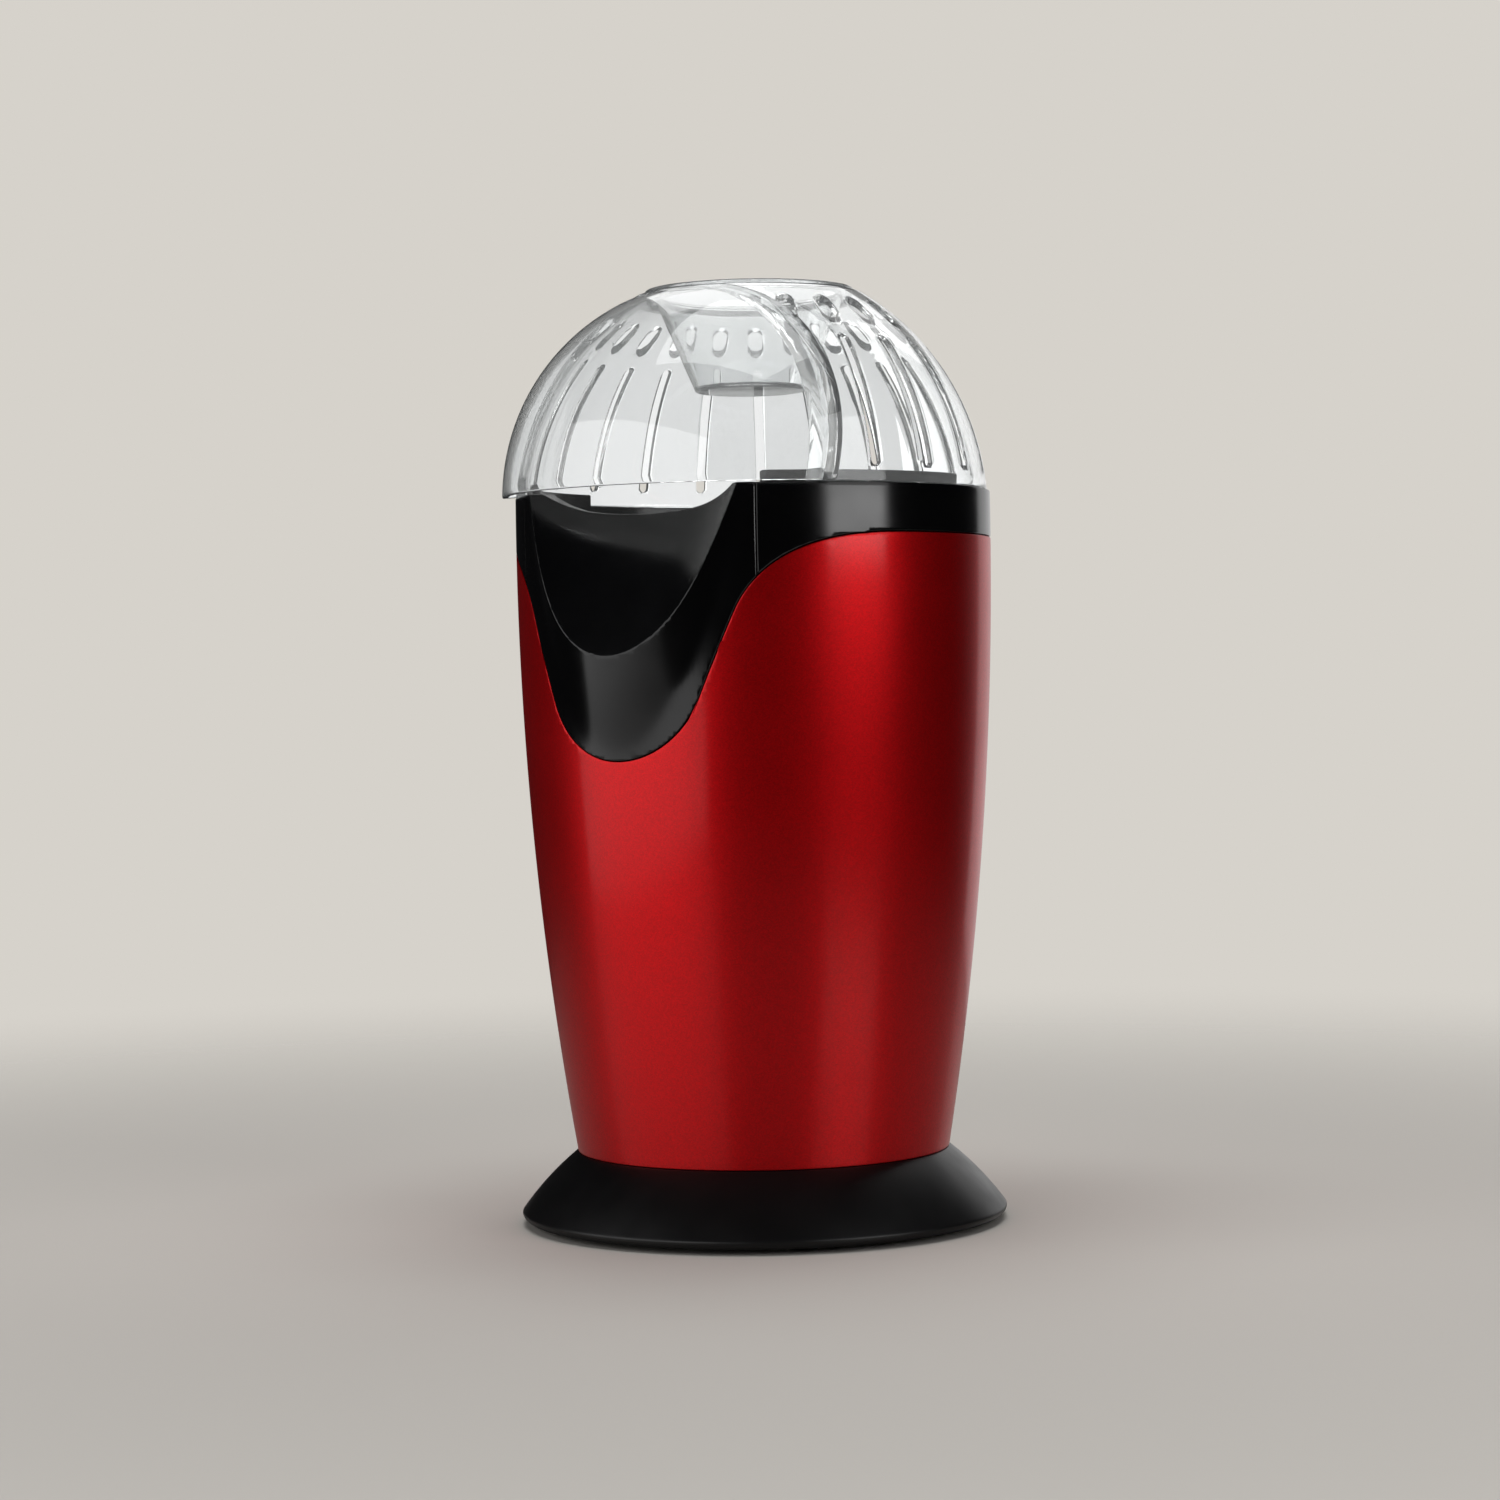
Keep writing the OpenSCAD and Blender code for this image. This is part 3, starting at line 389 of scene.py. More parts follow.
@dataclass(frozen=True)
class Flecked(Finish):
    """Pressed or moulded board with flecks of another colour in it."""

    fleck: str = "#8a7a58"

    def texture(self, tree: Tree, shader: Node) -> None:
        """Scatter the flecks.

        Args:
            tree: The material's node tree.
            shader: Its Principled node.
        """
        flecks = add_node(
            tree,
            "ShaderNodeTexNoise",
            {"Vector": self.place(tree), "Scale": 1 / (self.grain_mm * MM), "Detail": 4.0},
        )
        self.tint(tree, shader, flecks.outputs["Fac"], self.fleck)
        self.emboss(tree, shader, flecks.outputs["Fac"], self.depth_mm)


# Metallic lacquer over moulded ABS: flake of 0.05 mm, drawn at 0.4 mm so that it shows
RED_LACQUER = Lacquer(
    "sprayed_metallic_red_lacquer", "#e8000c", 0.38, metallic=0.8, depth_mm=0.003, wear=0.05
)
# ABS from a polished mould: black and mirror-like, with the faint waves of shrinkage
GLOSS_ABS = Finish("polished_black_abs", "#060607", 0.16, ior=1.52, grain_mm=14.0, depth_mm=0.006)
# Polypropylene from a spark-eroded mould: a fine even grain that dulls the light
SATIN_PP = Finish("spark_eroded_black_polypropylene", "#0b0b0c", 0.36, ior=1.49, depth_mm=0.012)
# Clear polycarbonate, polished on both sides
CLEAR_PC = ClearPlastic("clear_polycarbonate", "#f8f9f9", 0.01, ior=1.58, grain_mm=22.0, depth_mm=0.03)

# Finish of each material slot in the record
FINISHES: dict[str, Finish] = {
    "red_lacquer": RED_LACQUER,
    "black_gloss": GLOSS_ABS,
    "black_satin": SATIN_PP,
    "clear_plastic": CLEAR_PC,
    # Moulded rubber: dull, with dust in its pores
    "foot_rubber": Finish("moulded_black_rubber", "#191919", 0.78, ior=1.52, grain_mm=0.3, depth_mm=0.03),
    # Deep-drawn aluminium: bright, with fine lines along the draw
    "chamber_aluminium": Metal(
        "drawn_aluminium", "#d9dadc", 0.28, grain_mm=0.7, grain=Grain.DRAWN, tarnish="#b4b5b8"
    ),
    # Hot-dipped zinc on steel: crystals about 5 mm wide
    "galvanised_sheet": Spangle("galvanised_steel_sheet", "#c3c6c8", 0.4, grain_mm=5.0, tarnish="#979b9e"),
    "screw_steel": Metal(
        "zinc_plated_steel", "#c9cacc", 0.3, grain_mm=0.6, depth_mm=0.004, tarnish="#a9abae"
    ),
    # Silicone: soft sheen, brick red
    "silicone_red": Finish("moulded_silicone", "#a8402c", 0.55, ior=1.41, grain_mm=0.8, depth_mm=0.008),
    # Pressed mica: flakes of brown and straw
    "mica": Flecked(
        "pressed_mica_board", "#c2b088", 0.38, ior=1.58, grain_mm=3.0, depth_mm=0.02, fleck="#8d7748"
    ),
    # Nickel-chrome wire, grey-brown with oxide
    "resistance_wire": Metal("oxidised_nickel_chrome", "#77706a", 0.45, grain_mm=0.8, tarnish="#4b443f"),
    # Phenolic resin with wood flour in it
    "phenolic": Flecked("phenolic_moulding", "#33261f", 0.45, ior=1.6, grain_mm=0.8, fleck="#1d1512"),
    "nylon_white": Finish("natural_nylon", "#dedcd2", 0.42, ior=1.53, grain_mm=0.6, depth_mm=0.008),
    # Glass-filled nylon: short fibres leave pale flecks
    "fan_plastic": Flecked("glass_filled_nylon", "#262626", 0.5, ior=1.55, grain_mm=0.9, fleck="#161616"),
    "ferrite": Flecked(
        "sintered_ferrite", "#3a3b3e", 0.6, ior=1.9, grain_mm=0.5, depth_mm=0.02, fleck="#26272a"
    ),
    # Electrical steel sheets of 0.5 mm, stacked on the shaft
    "core_steel": Metal("laminated_steel", "#8e9094", 0.42, depth_mm=0.05, grain=Grain.STACKED),
    # Enamelled copper wire of 0.35 mm, wound tight
    "copper": Metal(
        "enamelled_copper",
        "#c8703c",
        0.3,
        grain_mm=0.35,
        depth_mm=0.06,
        grain=Grain.DRAWN,
        tarnish="#94481f",
    ),
    "carbon": Flecked("carbon_graphite", "#242426", 0.5, grain_mm=0.4, fleck="#121214"),
    "bronze": Metal("sintered_bronze", "#b98a4c", 0.45, grain_mm=0.4, depth_mm=0.02, tarnish="#85602f"),
    "circuit_board": Flecked(
        "phenolic_paper_board", "#9a7434", 0.45, ior=1.55, grain_mm=1.6, fleck="#7d5b26"
    ),
}


# ---- modelling ---------------------------------------------------------------


def select_only(*objects: Object) -> None:
    """Select these objects and nothing else, the first one active.

    Args:
        objects: Objects of the scene.
    """
    if bpy.context.object and bpy.context.object.mode != "OBJECT":
        bpy.ops.object.mode_set(mode="OBJECT")
    bpy.ops.object.select_all(action="DESELECT")
    for chosen in objects:
        chosen.select_set(True)
    bpy.context.view_layer.objects.active = objects[0] if objects else None


def settle(piece: Object) -> Object:
    """Write a piece's place, turn and scale into its mesh.

    Args:
        piece: Mesh object.

    Returns:
        The same object, at the origin.
    """
    select_only(piece)
    bpy.ops.object.transform_apply(location=True, rotation=True, scale=True)
    return piece


def revolve(name: str, rings: list[Ring], segments: int = 192, closed: bool = False) -> Object:
    """Draw a profile round Z, ring by ring, by extruding and scaling a circle.

    Args:
        name: Name of the new object.
        rings: Radius and height of each ring, in order along the profile.
        segments: Number of sides of a ring.
        closed: True where the profile returns to its start, as on a wall; else both ends get a cap.

    Returns:
        The new solid.
    """
    select_only()
    radius, height = rings[0]
    bpy.ops.mesh.primitive_circle_add(vertices=segments, radius=radius, location=(0, 0, height))
    piece = bpy.context.object
    piece.name = piece.data.name = name
    bpy.ops.object.mode_set(mode="EDIT")
    if not closed:
        bpy.ops.mesh.edge_face_add()
        bpy.ops.mesh.select_all(action="DESELECT")
        bpy.ops.mesh.select_non_manifold()
    for next_radius, next_height in rings[1:] + (rings[:1] if closed else []):
        bpy.ops.mesh.extrude_edges_move(TRANSFORM_OT_translate={"value": (0, 0, next_height - height)})
        scale = next_radius / radius
        bpy.ops.transform.resize(value=(scale, scale, 1), center_override=(0, 0, next_height))
        radius, height = next_radius, next_height
    if not closed:
        bpy.ops.mesh.edge_face_add()
    bpy.ops.mesh.select_all(action="SELECT")
    bpy.ops.mesh.remove_doubles(threshold=0.001 * MM)
    bpy.ops.mesh.normals_make_consistent(inside=False)
    bpy.ops.object.mode_set(mode="OBJECT")
    return settle(piece)


def cut_flat(piece: Object, point: Vector, away: Vector) -> Object:
    """Cut a solid by a plane and cap it.

    Args:
        piece: Solid to cut.
        point: A point of the plane.
        away: Normal of the plane, towards the side that goes.

    Returns:
        The same object.
    """
    select_only(piece)
    bpy.ops.object.mode_set(mode="EDIT")
    bpy.ops.mesh.select_all(action="SELECT")
    bpy.ops.mesh.bisect(plane_co=point, plane_no=away, use_fill=True, clear_outer=True)
    bpy.ops.object.mode_set(mode="OBJECT")
    return piece


class Join(Enum):
    """What a second solid does to the first."""

    ADD = "UNION"
    CUT = "DIFFERENCE"
    KEEP_SHARED = "INTERSECT"


def combine(piece: Object, tool: Object, join: Join) -> Object:
    """Change a solid by another, which is used up.

    Args:
        piece: Solid that stays.
        tool: Solid that is used up.
        join: What the second does to the first.

    Returns:
        The solid that stays.
    """
    boolean = piece.modifiers.new("cut", "BOOLEAN")
    boolean.operation, boolean.solver, boolean.object = join.value, "EXACT", tool
    apply_modifiers(piece)
    bpy.data.objects.remove(tool)
    return piece


def apply_modifiers(piece: Object) -> None:
    """Apply all modifiers of a piece.

    Args:
        piece: Mesh object.
    """
    select_only(piece)
    for modifier in list(piece.modifiers):
        bpy.ops.object.modifier_apply(modifier=modifier.name)


def prism(name: str, outline: list[Ring], low: float, high: float, place: Matrix, bands: int = 1) -> Object:
    """Draw a flat outline and extrude it into a solid.

    Args:
        name: Name of the new object.
        outline: Points of the outline in the XY plane, in order.
        low: Height at which the solid starts, before it is placed.
        high: Height at which it ends.
        place: Place and turn of the finished solid.
        bands: Number of bands of faces along its sides.

    Returns:
        The new solid.
    """
    mesh = bpy.data.meshes.new(name)
    mesh.from_pydata([(x, y, low) for x, y in outline], [], [list(range(len(outline)))])
    piece = bpy.data.objects.new(name, mesh)
    bpy.context.scene.collection.objects.link(piece)
    select_only(piece)
    bpy.ops.object.mode_set(mode="EDIT")
    bpy.ops.mesh.select_all(action="SELECT")
    for _ in range(bands):
        bpy.ops.mesh.extrude_region_move(TRANSFORM_OT_translate={"value": (0, 0, (high - low) / bands)})
    bpy.ops.mesh.select_all(action="SELECT")
    bpy.ops.mesh.normals_make_consistent(inside=False)
    bpy.ops.object.mode_set(mode="OBJECT")
    mesh.transform(place)
    return piece


def block(name: str, low: Vector, high: Vector) -> Object:
    """Make a box between two corners.

    Args:
        name: Name of the new object.
        low: Its lowest corner.
        high: Its highest corner.

    Returns:
        The new solid.
    """
    select_only()
    bpy.ops.mesh.primitive_cube_add(size=1, location=(low + high) / 2)
    piece = bpy.context.object
    piece.name = name
    piece.scale = high - low
    return settle(piece)


def arc_points(centre: Ring, radius: float, start: float, end: float, steps: int = 24) -> list[Ring]:
    """Place points along an arc.

    Args:
        centre: Centre of the arc.
        radius: Its radius.
        start: Direction of the first point from the centre, in degrees.
        end: Direction of the last point.
        steps: Number of stretches between them.

    Returns:
        The points, both ends included.
    """
    turns = [math.radians(start + (end - start) * i / steps) for i in range(steps + 1)]
    return [(centre[0] + radius * math.cos(t), centre[1] + radius * math.sin(t)) for t in turns]


def mirrored(right: list[Ring]) -> list[Ring]:
    """Close an outline that starts on the middle line with its mirror image."""
    return right + [(-x, y) for x, y in reversed(right) if x > 1e-6]


def copies_round(piece: Object, turns: list[float]) -> Object:
    """Copy a piece round Z and join the copies.

    Args:
        piece: Piece to copy, which is used up.
        turns: Turn of each copy, in degrees.

    Returns:
        The joined copies.
    """
    copies = []
    for turn in turns:
        twin = piece.copy()
        twin.data = piece.data.copy()
        twin.data.transform(Matrix.Rotation(math.radians(turn), 4, "Z"))
        bpy.context.scene.collection.objects.link(twin)
        copies.append(twin)
    bpy.data.objects.remove(piece)
    select_only(*copies)
    bpy.ops.object.join()
    return bpy.context.object


def slot_tool(name: str, width: float, length: float, depth: float, start: Vector, upright: bool) -> Object:
    """Make the cutter of a slot with round ends.

    Args:
        name: Name of the new object.
        width: Width of the slot.
        length: Length of the slot over its round ends.
        depth: How far the cutter reaches along its own axis.
        start: Centre of the slot's lower or inner end, halfway along the cutter.
        upright: True for a cutter along Z whose slot runs along X. False for one along X whose slot
            runs up Z.

    Returns:
        The new solid.
    """
    sides = 24
    select_only()
    bpy.ops.mesh.primitive_cylinder_add(vertices=sides, radius=width / 2, depth=depth, location=(0, 0, 0))
    piece = bpy.context.object
    piece.name = name
    half_step = Matrix.Rotation(math.pi / sides, 4, "Z")
    stand = Matrix() if upright else Matrix.Rotation(math.pi / 2, 4, "Y")
    piece.data.transform(Matrix.Translation(start) @ stand @ half_step)
    run = Vector((1, 0, 0)) if upright else Vector((0, 0, 1))
    for vertex in piece.data.vertices:
        if (vertex.co - start).dot(run) > 0:
            vertex.co += run * (length - width)
    return piece


def round_edges(piece: Object, radius: float, segments: int = 2, angle: float = 32.0) -> Object:
    """Round the sharp edges of a finished solid and shade it smooth.

    Args:
        piece: Closed solid.
        radius: Width of the rounding.
        segments: Faces across the rounding.
        angle: Edges sharper than this are rounded, in degrees.

    Returns:
        The same object.
    """
    select_only(piece)
    bpy.ops.object.mode_set(mode="EDIT")
    bpy.ops.mesh.select_all(action="SELECT")
    bpy.ops.mesh.remove_doubles(threshold=WELD)
    bpy.ops.mesh.dissolve_degenerate(threshold=WELD)
    bpy.ops.mesh.select_all(action="DESELECT")
    bpy.ops.mesh.select_face_by_sides(number=4, type="GREATER", extend=False)
    bpy.ops.mesh.quads_convert_to_tris(ngon_method="CLIP")
    bpy.ops.object.mode_set(mode="OBJECT")
    points = [vertex.co.copy() for vertex in piece.data.vertices]
    sharp = BVHTree.FromPolygons(points, [list(face.vertices) for face in piece.data.polygons])
    bevel = piece.modifiers.new("edges", "BEVEL")
    bevel.width, bevel.segments = radius, segments
    bevel.limit_method, bevel.angle_limit = "ANGLE", math.radians(angle)
    bevel.use_clamp_overlap = False
    apply_modifiers(piece)
    # narrow corners throw a few points off the solid, which go back to it
    for vertex in piece.data.vertices:
        spot, normal, _, distance = sharp.find_nearest(vertex.co)
        if distance > radius / 2 or (vertex.co - spot).dot(normal) > STRAY:
            vertex.co = spot
    bpy.ops.object.shade_smooth_by_angle(angle=math.radians(angle))
    even = piece.modifiers.new("normals", "WEIGHTED_NORMAL")
    even.keep_sharp = True
    apply_modifiers(piece)
    return piece


def arc_centre(low: Ring, high: Ring, radius: float) -> Ring:
    """Find the centre of a profile's arc, on the axis side.

    Args:
        low: Lower end of the arc.
        high: Upper end of the arc.
        radius: Its radius.

    Returns:
        Distance of the centre from the axis, and its height.
    """
    across = (high[0] - low[0], high[1] - low[1])
    chord = math.hypot(*across)
    rise = math.sqrt(radius**2 - chord**2 / 4) / chord
    return (low[0] + high[0]) / 2 - across[1] * rise, (low[1] + high[1]) / 2 + across[0] * rise


def arc_rings(centre: Ring, radius: float, low_z: float, high_z: float, steps: int) -> list[Ring]:
    """Place rings along an arc of a profile, between two heights.

    Args:
        centre: Centre of the arc.
        radius: Its radius.
        low_z: Height of the first ring.
        high_z: Height of the last ring.
        steps: Number of bands between them.

    Returns:
        Radius and height of each ring.
    """
    first, last = (math.asin((z - centre[1]) / radius) for z in (low_z, high_z))
    turns = [first + (last - first) * i / steps for i in range(steps + 1)]
    return [(centre[0] + radius * math.cos(t), centre[1] + radius * math.sin(t)) for t in turns]


# ---- sub-assemblies ----------------------------------------------------------


@dataclass
class SubAssembly:
    """Pieces that belong together, on one body of the frame."""

    body: str = "appliance"

    def seat(self, piece: Object, slot: str, *nodes: str) -> Object:
        """Put a new piece on its body in place of frame nodes and give it its finish.

        Args:
            piece: New piece, in place.
            slot: Material slot that it takes its finish from.
            nodes: Frame nodes that it stands for.

        Returns:
            The same piece.
        """
        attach(piece, self.body)
        if nodes:
            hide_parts(*nodes)
        FINISHES[slot].dress(piece)
        LOG.info("%s: %d faces, %s", piece.name, len(piece.data.polygons), slot)
        return piece


@dataclass
class Hood(SubAssembly):
    """Clear dome with a raised visor in front, a ring of slots and a ring of vents.

    Slots and vents share one ring of places, counted from the front to both sides. The first
    slot and the first vent stand at the places that first_slot and first_vent give.
    """

    body: str = "hood"
    wall: float = 2.0 * MM
    top_r: float = 36.4 * MM
    dome_r: float = 83.1 * MM
    visor_profile_r: float = 69.9 * MM
    visor_inset: float = 0.6 * MM
    visor_depth: float = 48.0 * MM
    visor_lean: float = 13.0
    opening_r: float = 31.6 * MM
    places: int = 22
    first_slot: int = 4
    first_vent: int = 3
    slot_size: tuple[float, float] = (3.1 * MM, 41.0 * MM)
    slot_rise: float = 5.0 * MM
    vent_size: tuple[float, float] = (5.6 * MM, 9.0 * MM)
    vent_circle_r: float = 47.0 * MM
    vent_sink: float = 6.0 * MM
    cut_reach: float = 40.0 * MM
    edge_r: float = 0.45 * MM
    bands: int = 36

    def __post_init__(self) -> None:
        """Take the rim, the height and the visor's reach from the frame."""
        low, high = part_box("hood")
        self.rim_z, self.top_z = low.z, high.z
        self.rim_r = high.x
        self.visor_r = -low.y

    def dome(self, name: str, rim_r: float, top_r: float, profile_r: float, inset: float) -> Object:
        """Make a solid dome, whole or smaller by a wall.

        Args:
            name: Name of the new object.
            rim_r: Radius at the rim.
            top_r: Radius at the top edge.
            profile_r: Radius of the dome's profile.
            inset: Wall to leave off.

        Returns:
            The new solid.
        """
        centre = arc_centre((rim_r, self.rim_z), (top_r, self.top_z), profile_r)
        rings = arc_rings(centre, profile_r - inset, self.rim_z - inset, self.top_z - inset, self.bands)
        return revolve(name, rings)

    def visor(self, name: str, inset: float) -> Object:
        """Make the solid of the raised front, whole or smaller by a wall.

        Args:
            name: Name of the new object.
            inset: Wall to leave off.

        Returns:
            The new solid.
        """
        lean = math.radians(self.visor_lean)
        whole = self.dome(name, self.visor_r, self.top_r - self.visor_inset, self.visor_profile_r, inset)
        return cut_flat(
            whole,
            Vector((0, -self.visor_depth - inset, self.rim_z)),
            Vector((0, math.cos(lean), -math.sin(lean))),
        )

    def inner_r_at(self, height: float) -> float:
        """Return the dome's inner radius at a height."""
        centre = arc_centre((self.rim_r, self.rim_z), (self.top_r, self.top_z), self.dome_r)
        return centre[0] + math.sqrt((self.dome_r - self.wall) ** 2 - (height - centre[1]) ** 2)

    def turns(self, first: int) -> list[float]:
        """Return the turn of each place in a ring that leaves out the front."""
        step = 360 / self.places
        return [i * step - 90 for i in range(first, self.places - first + 1)]

    def slots(self) -> Object:
        """Return the cutters of the long slots up the dome.

        Returns:
            All the cutters as one object.
        """
        width, length = self.slot_size
        start = Vector((self.rim_r - self.cut_reach / 4, 0, self.rim_z + self.slot_rise + width / 2))
        slot = slot_tool("slot", width, length, self.cut_reach, start, upright=False)
        return copies_round(slot, self.turns(self.first_slot))

    def vents(self) -> Object:
        """Return the cutters of the short vents round the opening.

        Returns:
            All the cutters as one object.
        """
        width, length = self.vent_size
        start = Vector((self.vent_circle_r - (length - width) / 2, 0, self.top_z - self.vent_sink))
        vent = slot_tool("vent", width, length, self.cut_reach / 2, start, upright=True)
        return copies_round(vent, self.turns(self.first_vent))

    def build(self) -> None:
        """Make the hood's wall, cut its openings and round their edges."""
        hood = self.dome("hood_clear", self.rim_r, self.top_r, self.dome_r, 0)
        combine(hood, self.visor("visor_outer", 0), Join.ADD)
        combine(hood, self.dome("dome_inner", self.rim_r, self.top_r, self.dome_r, self.wall), Join.CUT)
        combine(hood, self.visor("visor_inner", self.wall), Join.CUT)
        heights = (self.top_z - self.cut_reach / 2, self.top_z + self.cut_reach)
        combine(hood, revolve("opening", [(self.opening_r, z) for z in heights]), Join.CUT)
        combine(hood, self.slots(), Join.CUT)
        combine(hood, self.vents(), Join.CUT)
        round_edges(hood, self.edge_r)
        self.seat(hood, "clear_plastic", "hood")


@dataclass
class MeasuringCup(SubAssembly):
    """Clear conical cup that hangs by its flange in the hood's opening."""

    body: str = "cup"
    top_r: float = 30.9 * MM
    bottom_r: float = 17.8 * MM
    wall: float = 1.6 * MM
    flange_t: float = 1.6 * MM
    edge_r: float = 0.6 * MM
    pole_r: float = 0.3 * MM

    def build(self) -> None:
        """Draw the cup's wall round its axis and round its edges."""
        low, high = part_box("measuring_cup")
        flange_z = high.z - self.flange_t
        slope = (self.top_r - self.bottom_r) / (flange_z - low.z)
        section = [
            (self.pole_r, low.z),
            (self.bottom_r, low.z),
            (self.top_r, flange_z),
            (high.x, flange_z),
            (high.x, high.z),
            (self.top_r - self.wall + slope * self.flange_t, high.z),
            (self.bottom_r - self.wall + slope * self.wall, low.z + self.wall),
            (self.pole_r, low.z + self.wall),
        ]
        cup = revolve("measuring_cup_clear", section)
        round_edges(cup, self.edge_r, 3)
        self.seat(cup, "clear_plastic", "measuring_cup")


@dataclass
class BodyForm:
    """Form that the shell, the collar and the chute share: one flank and one joint line.

    The joint line runs level behind and dips to the apron's round tip in front. Cutters and
    blanks reach past what they cut by overlap, spare or reach.
    """

    base_r: float = 60.0 * MM
    wall: float = 2.4 * MM
    fit: float = 0.2 * MM
    seam_gap: float = 0.3 * MM
    upright_above_seam: float = 3.0 * MM
    apron_drop: float = 69.0 * MM
    tip_r: float = 29.5 * MM
    side_angle: float = 68.0
    sweep_r: float = 38.0 * MM
    spigot_h: float = 3.7 * MM
    chute_depth: float = 19.5 * MM
    chute_inset: float = 32.2 * MM
    floor_drop: float = 9.4 * MM
    overlap: float = 1.0 * MM
    spare: float = 5.0 * MM
    reach: float = 200.0 * MM
    segments: int = 288

    def __post_init__(self) -> None:
        """Take the heights and the radius from the frame and work out the flank's arc."""
        low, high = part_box("outer_shell")
        self.base_z = low.z - self.fit / 2
        self.seam_z = high.z + self.seam_gap
        _, collar_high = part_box("top_collar")
        self.radius = collar_high.x
        self.rim_z = collar_high.z - self.spigot_h
        self.floor_z = self.rim_z - self.floor_drop
        self.apron_z = self.seam_z - self.apron_drop
        upright_z = self.seam_z + self.upright_above_seam
        taper = self.radius - self.base_r
        self.flank_r = ((upright_z - self.base_z) ** 2 + taper**2) / (2 * taper)
        self.flank_centre = (self.radius - self.flank_r, upright_z)
        self.chute_back = self.radius - self.chute_depth
        self.chute_half_w = self.radius - self.chute_inset

    def flank(self, low_z: float, high_z: float, inset: float = 0.0, steps: int = 64) -> list[Ring]:
        """Return rings up the flank between two heights."""
        return arc_rings(self.flank_centre, self.flank_r - inset, low_z, high_z, steps)

    def flank_r_at(self, height: float) -> float:
        """Return the body's radius at a height."""
        return self.flank(height, height, steps=1)[0][0]

    def flank_solid(self, name: str, low_z: float, high_z: float, inset: float = 0.0) -> Object:
        """Return a solid of revolution with the flank as its side."""
        return revolve(name, self.flank(low_z, high_z, inset), self.segments)

    def flank_wall(self, name: str, low_z: float, high_z: float) -> Object:
        """Return the wall of the flank between two heights."""
        inner = self.flank(low_z, high_z, self.wall)
        return revolve(name, self.flank(low_z, high_z) + inner[::-1], self.segments, closed=True)

    def apron(self, name: str, grow: float = 0.0) -> Object:
        """Make the space in front that lies above the joint line.

        Args:
            name: Name of the new object.
            grow: How far the space is grown outwards.

        Returns:
            The space as a solid.
        """
        turn = 90 - self.side_angle
        tip = (0.0, self.apron_z + self.tip_r)
        sweep_z = self.seam_z - self.sweep_r
        sine, cosine = math.sin(math.radians(self.side_angle)), math.cos(math.radians(self.side_angle))
        run = (sweep_z - tip[1] + (self.sweep_r + self.tip_r) * cosine) / sine
        sweep = ((self.tip_r + self.sweep_r) * sine + run * cosine, sweep_z)
        right = arc_points(tip, self.tip_r + grow, -90, -turn, 32)
        right += arc_points(sweep, self.sweep_r - grow, 180 - turn, 90, 32)
        right += [(self.reach, self.seam_z - grow), (self.reach, self.reach + self.seam_z)]
        return prism(name, mirrored(right), 0, self.reach, Matrix.Rotation(math.pi / 2, 4, "X"))

    def above_seam(self, name: str, grow: float = 0.0) -> Object:
        """Make the space above the joint line: the apron in front and a level seam behind.

        Args:
            name: Name of the new object.
            grow: How far the space is grown outwards.

        Returns:
            The space as a solid.
        """
        behind = block(
            "behind",
            Vector((-self.reach, -self.overlap, self.seam_z - grow)),
            Vector((self.reach, self.reach, self.seam_z + self.reach)),
        )
        return combine(self.apron(name, grow), behind, Join.ADD)

    def chute_block(self, name: str, grow: float = 0.0) -> Object:
        """Make the space that the chute piece takes up.

        Args:
            name: Name of the new object.
            grow: How far the space is grown outwards.

        Returns:
            The space as a solid.
        """
        half = self.chute_half_w + grow
        return block(
            name,
            Vector((-half, -self.reach, self.apron_z - self.reach)),
            Vector((half, grow - self.chute_back, self.rim_z + self.reach)),
        )


@dataclass
class Shell(SubAssembly):
    """Tapered lacquered shell, cut along the joint line, with the switch's window."""

    edge_r: float = 0.4 * MM
    window: float = 0.3 * MM
    window_reach: float = 13.0 * MM
    switch_body: tuple[float, float] = (13.0 * MM, 18.9 * MM)

    def build(self, form: BodyForm) -> None:
        """Model the shell's wall and cut it.

        Args:
            form: Form of the body.
        """
        shell = form.flank_wall(
            "outer_shell_lacquered", form.base_z + form.fit / 2, form.seam_z + form.overlap
        )
        combine(shell, form.above_seam("above_seam", form.seam_gap), Join.CUT)
        low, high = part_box("switch_housing")
        middle = (low + high) / 2
        lean = math.asin((form.flank_centre[1] - middle.z) / form.flank_r)
        half_w, half_h = ((size + self.window) / 2 for size in self.switch_body)
        half = Vector((half_w, self.window_reach, half_h))
        cut = block("window", -half, half)
        spot = Vector((0, form.flank_r_at(middle.z), middle.z))
        cut.data.transform(Matrix.Translation(spot) @ Matrix.Rotation(-lean, 4, "X"))
        combine(shell, cut, Join.CUT)
        round_edges(shell, self.edge_r)
        self.seat(shell, "red_lacquer", "outer_shell")


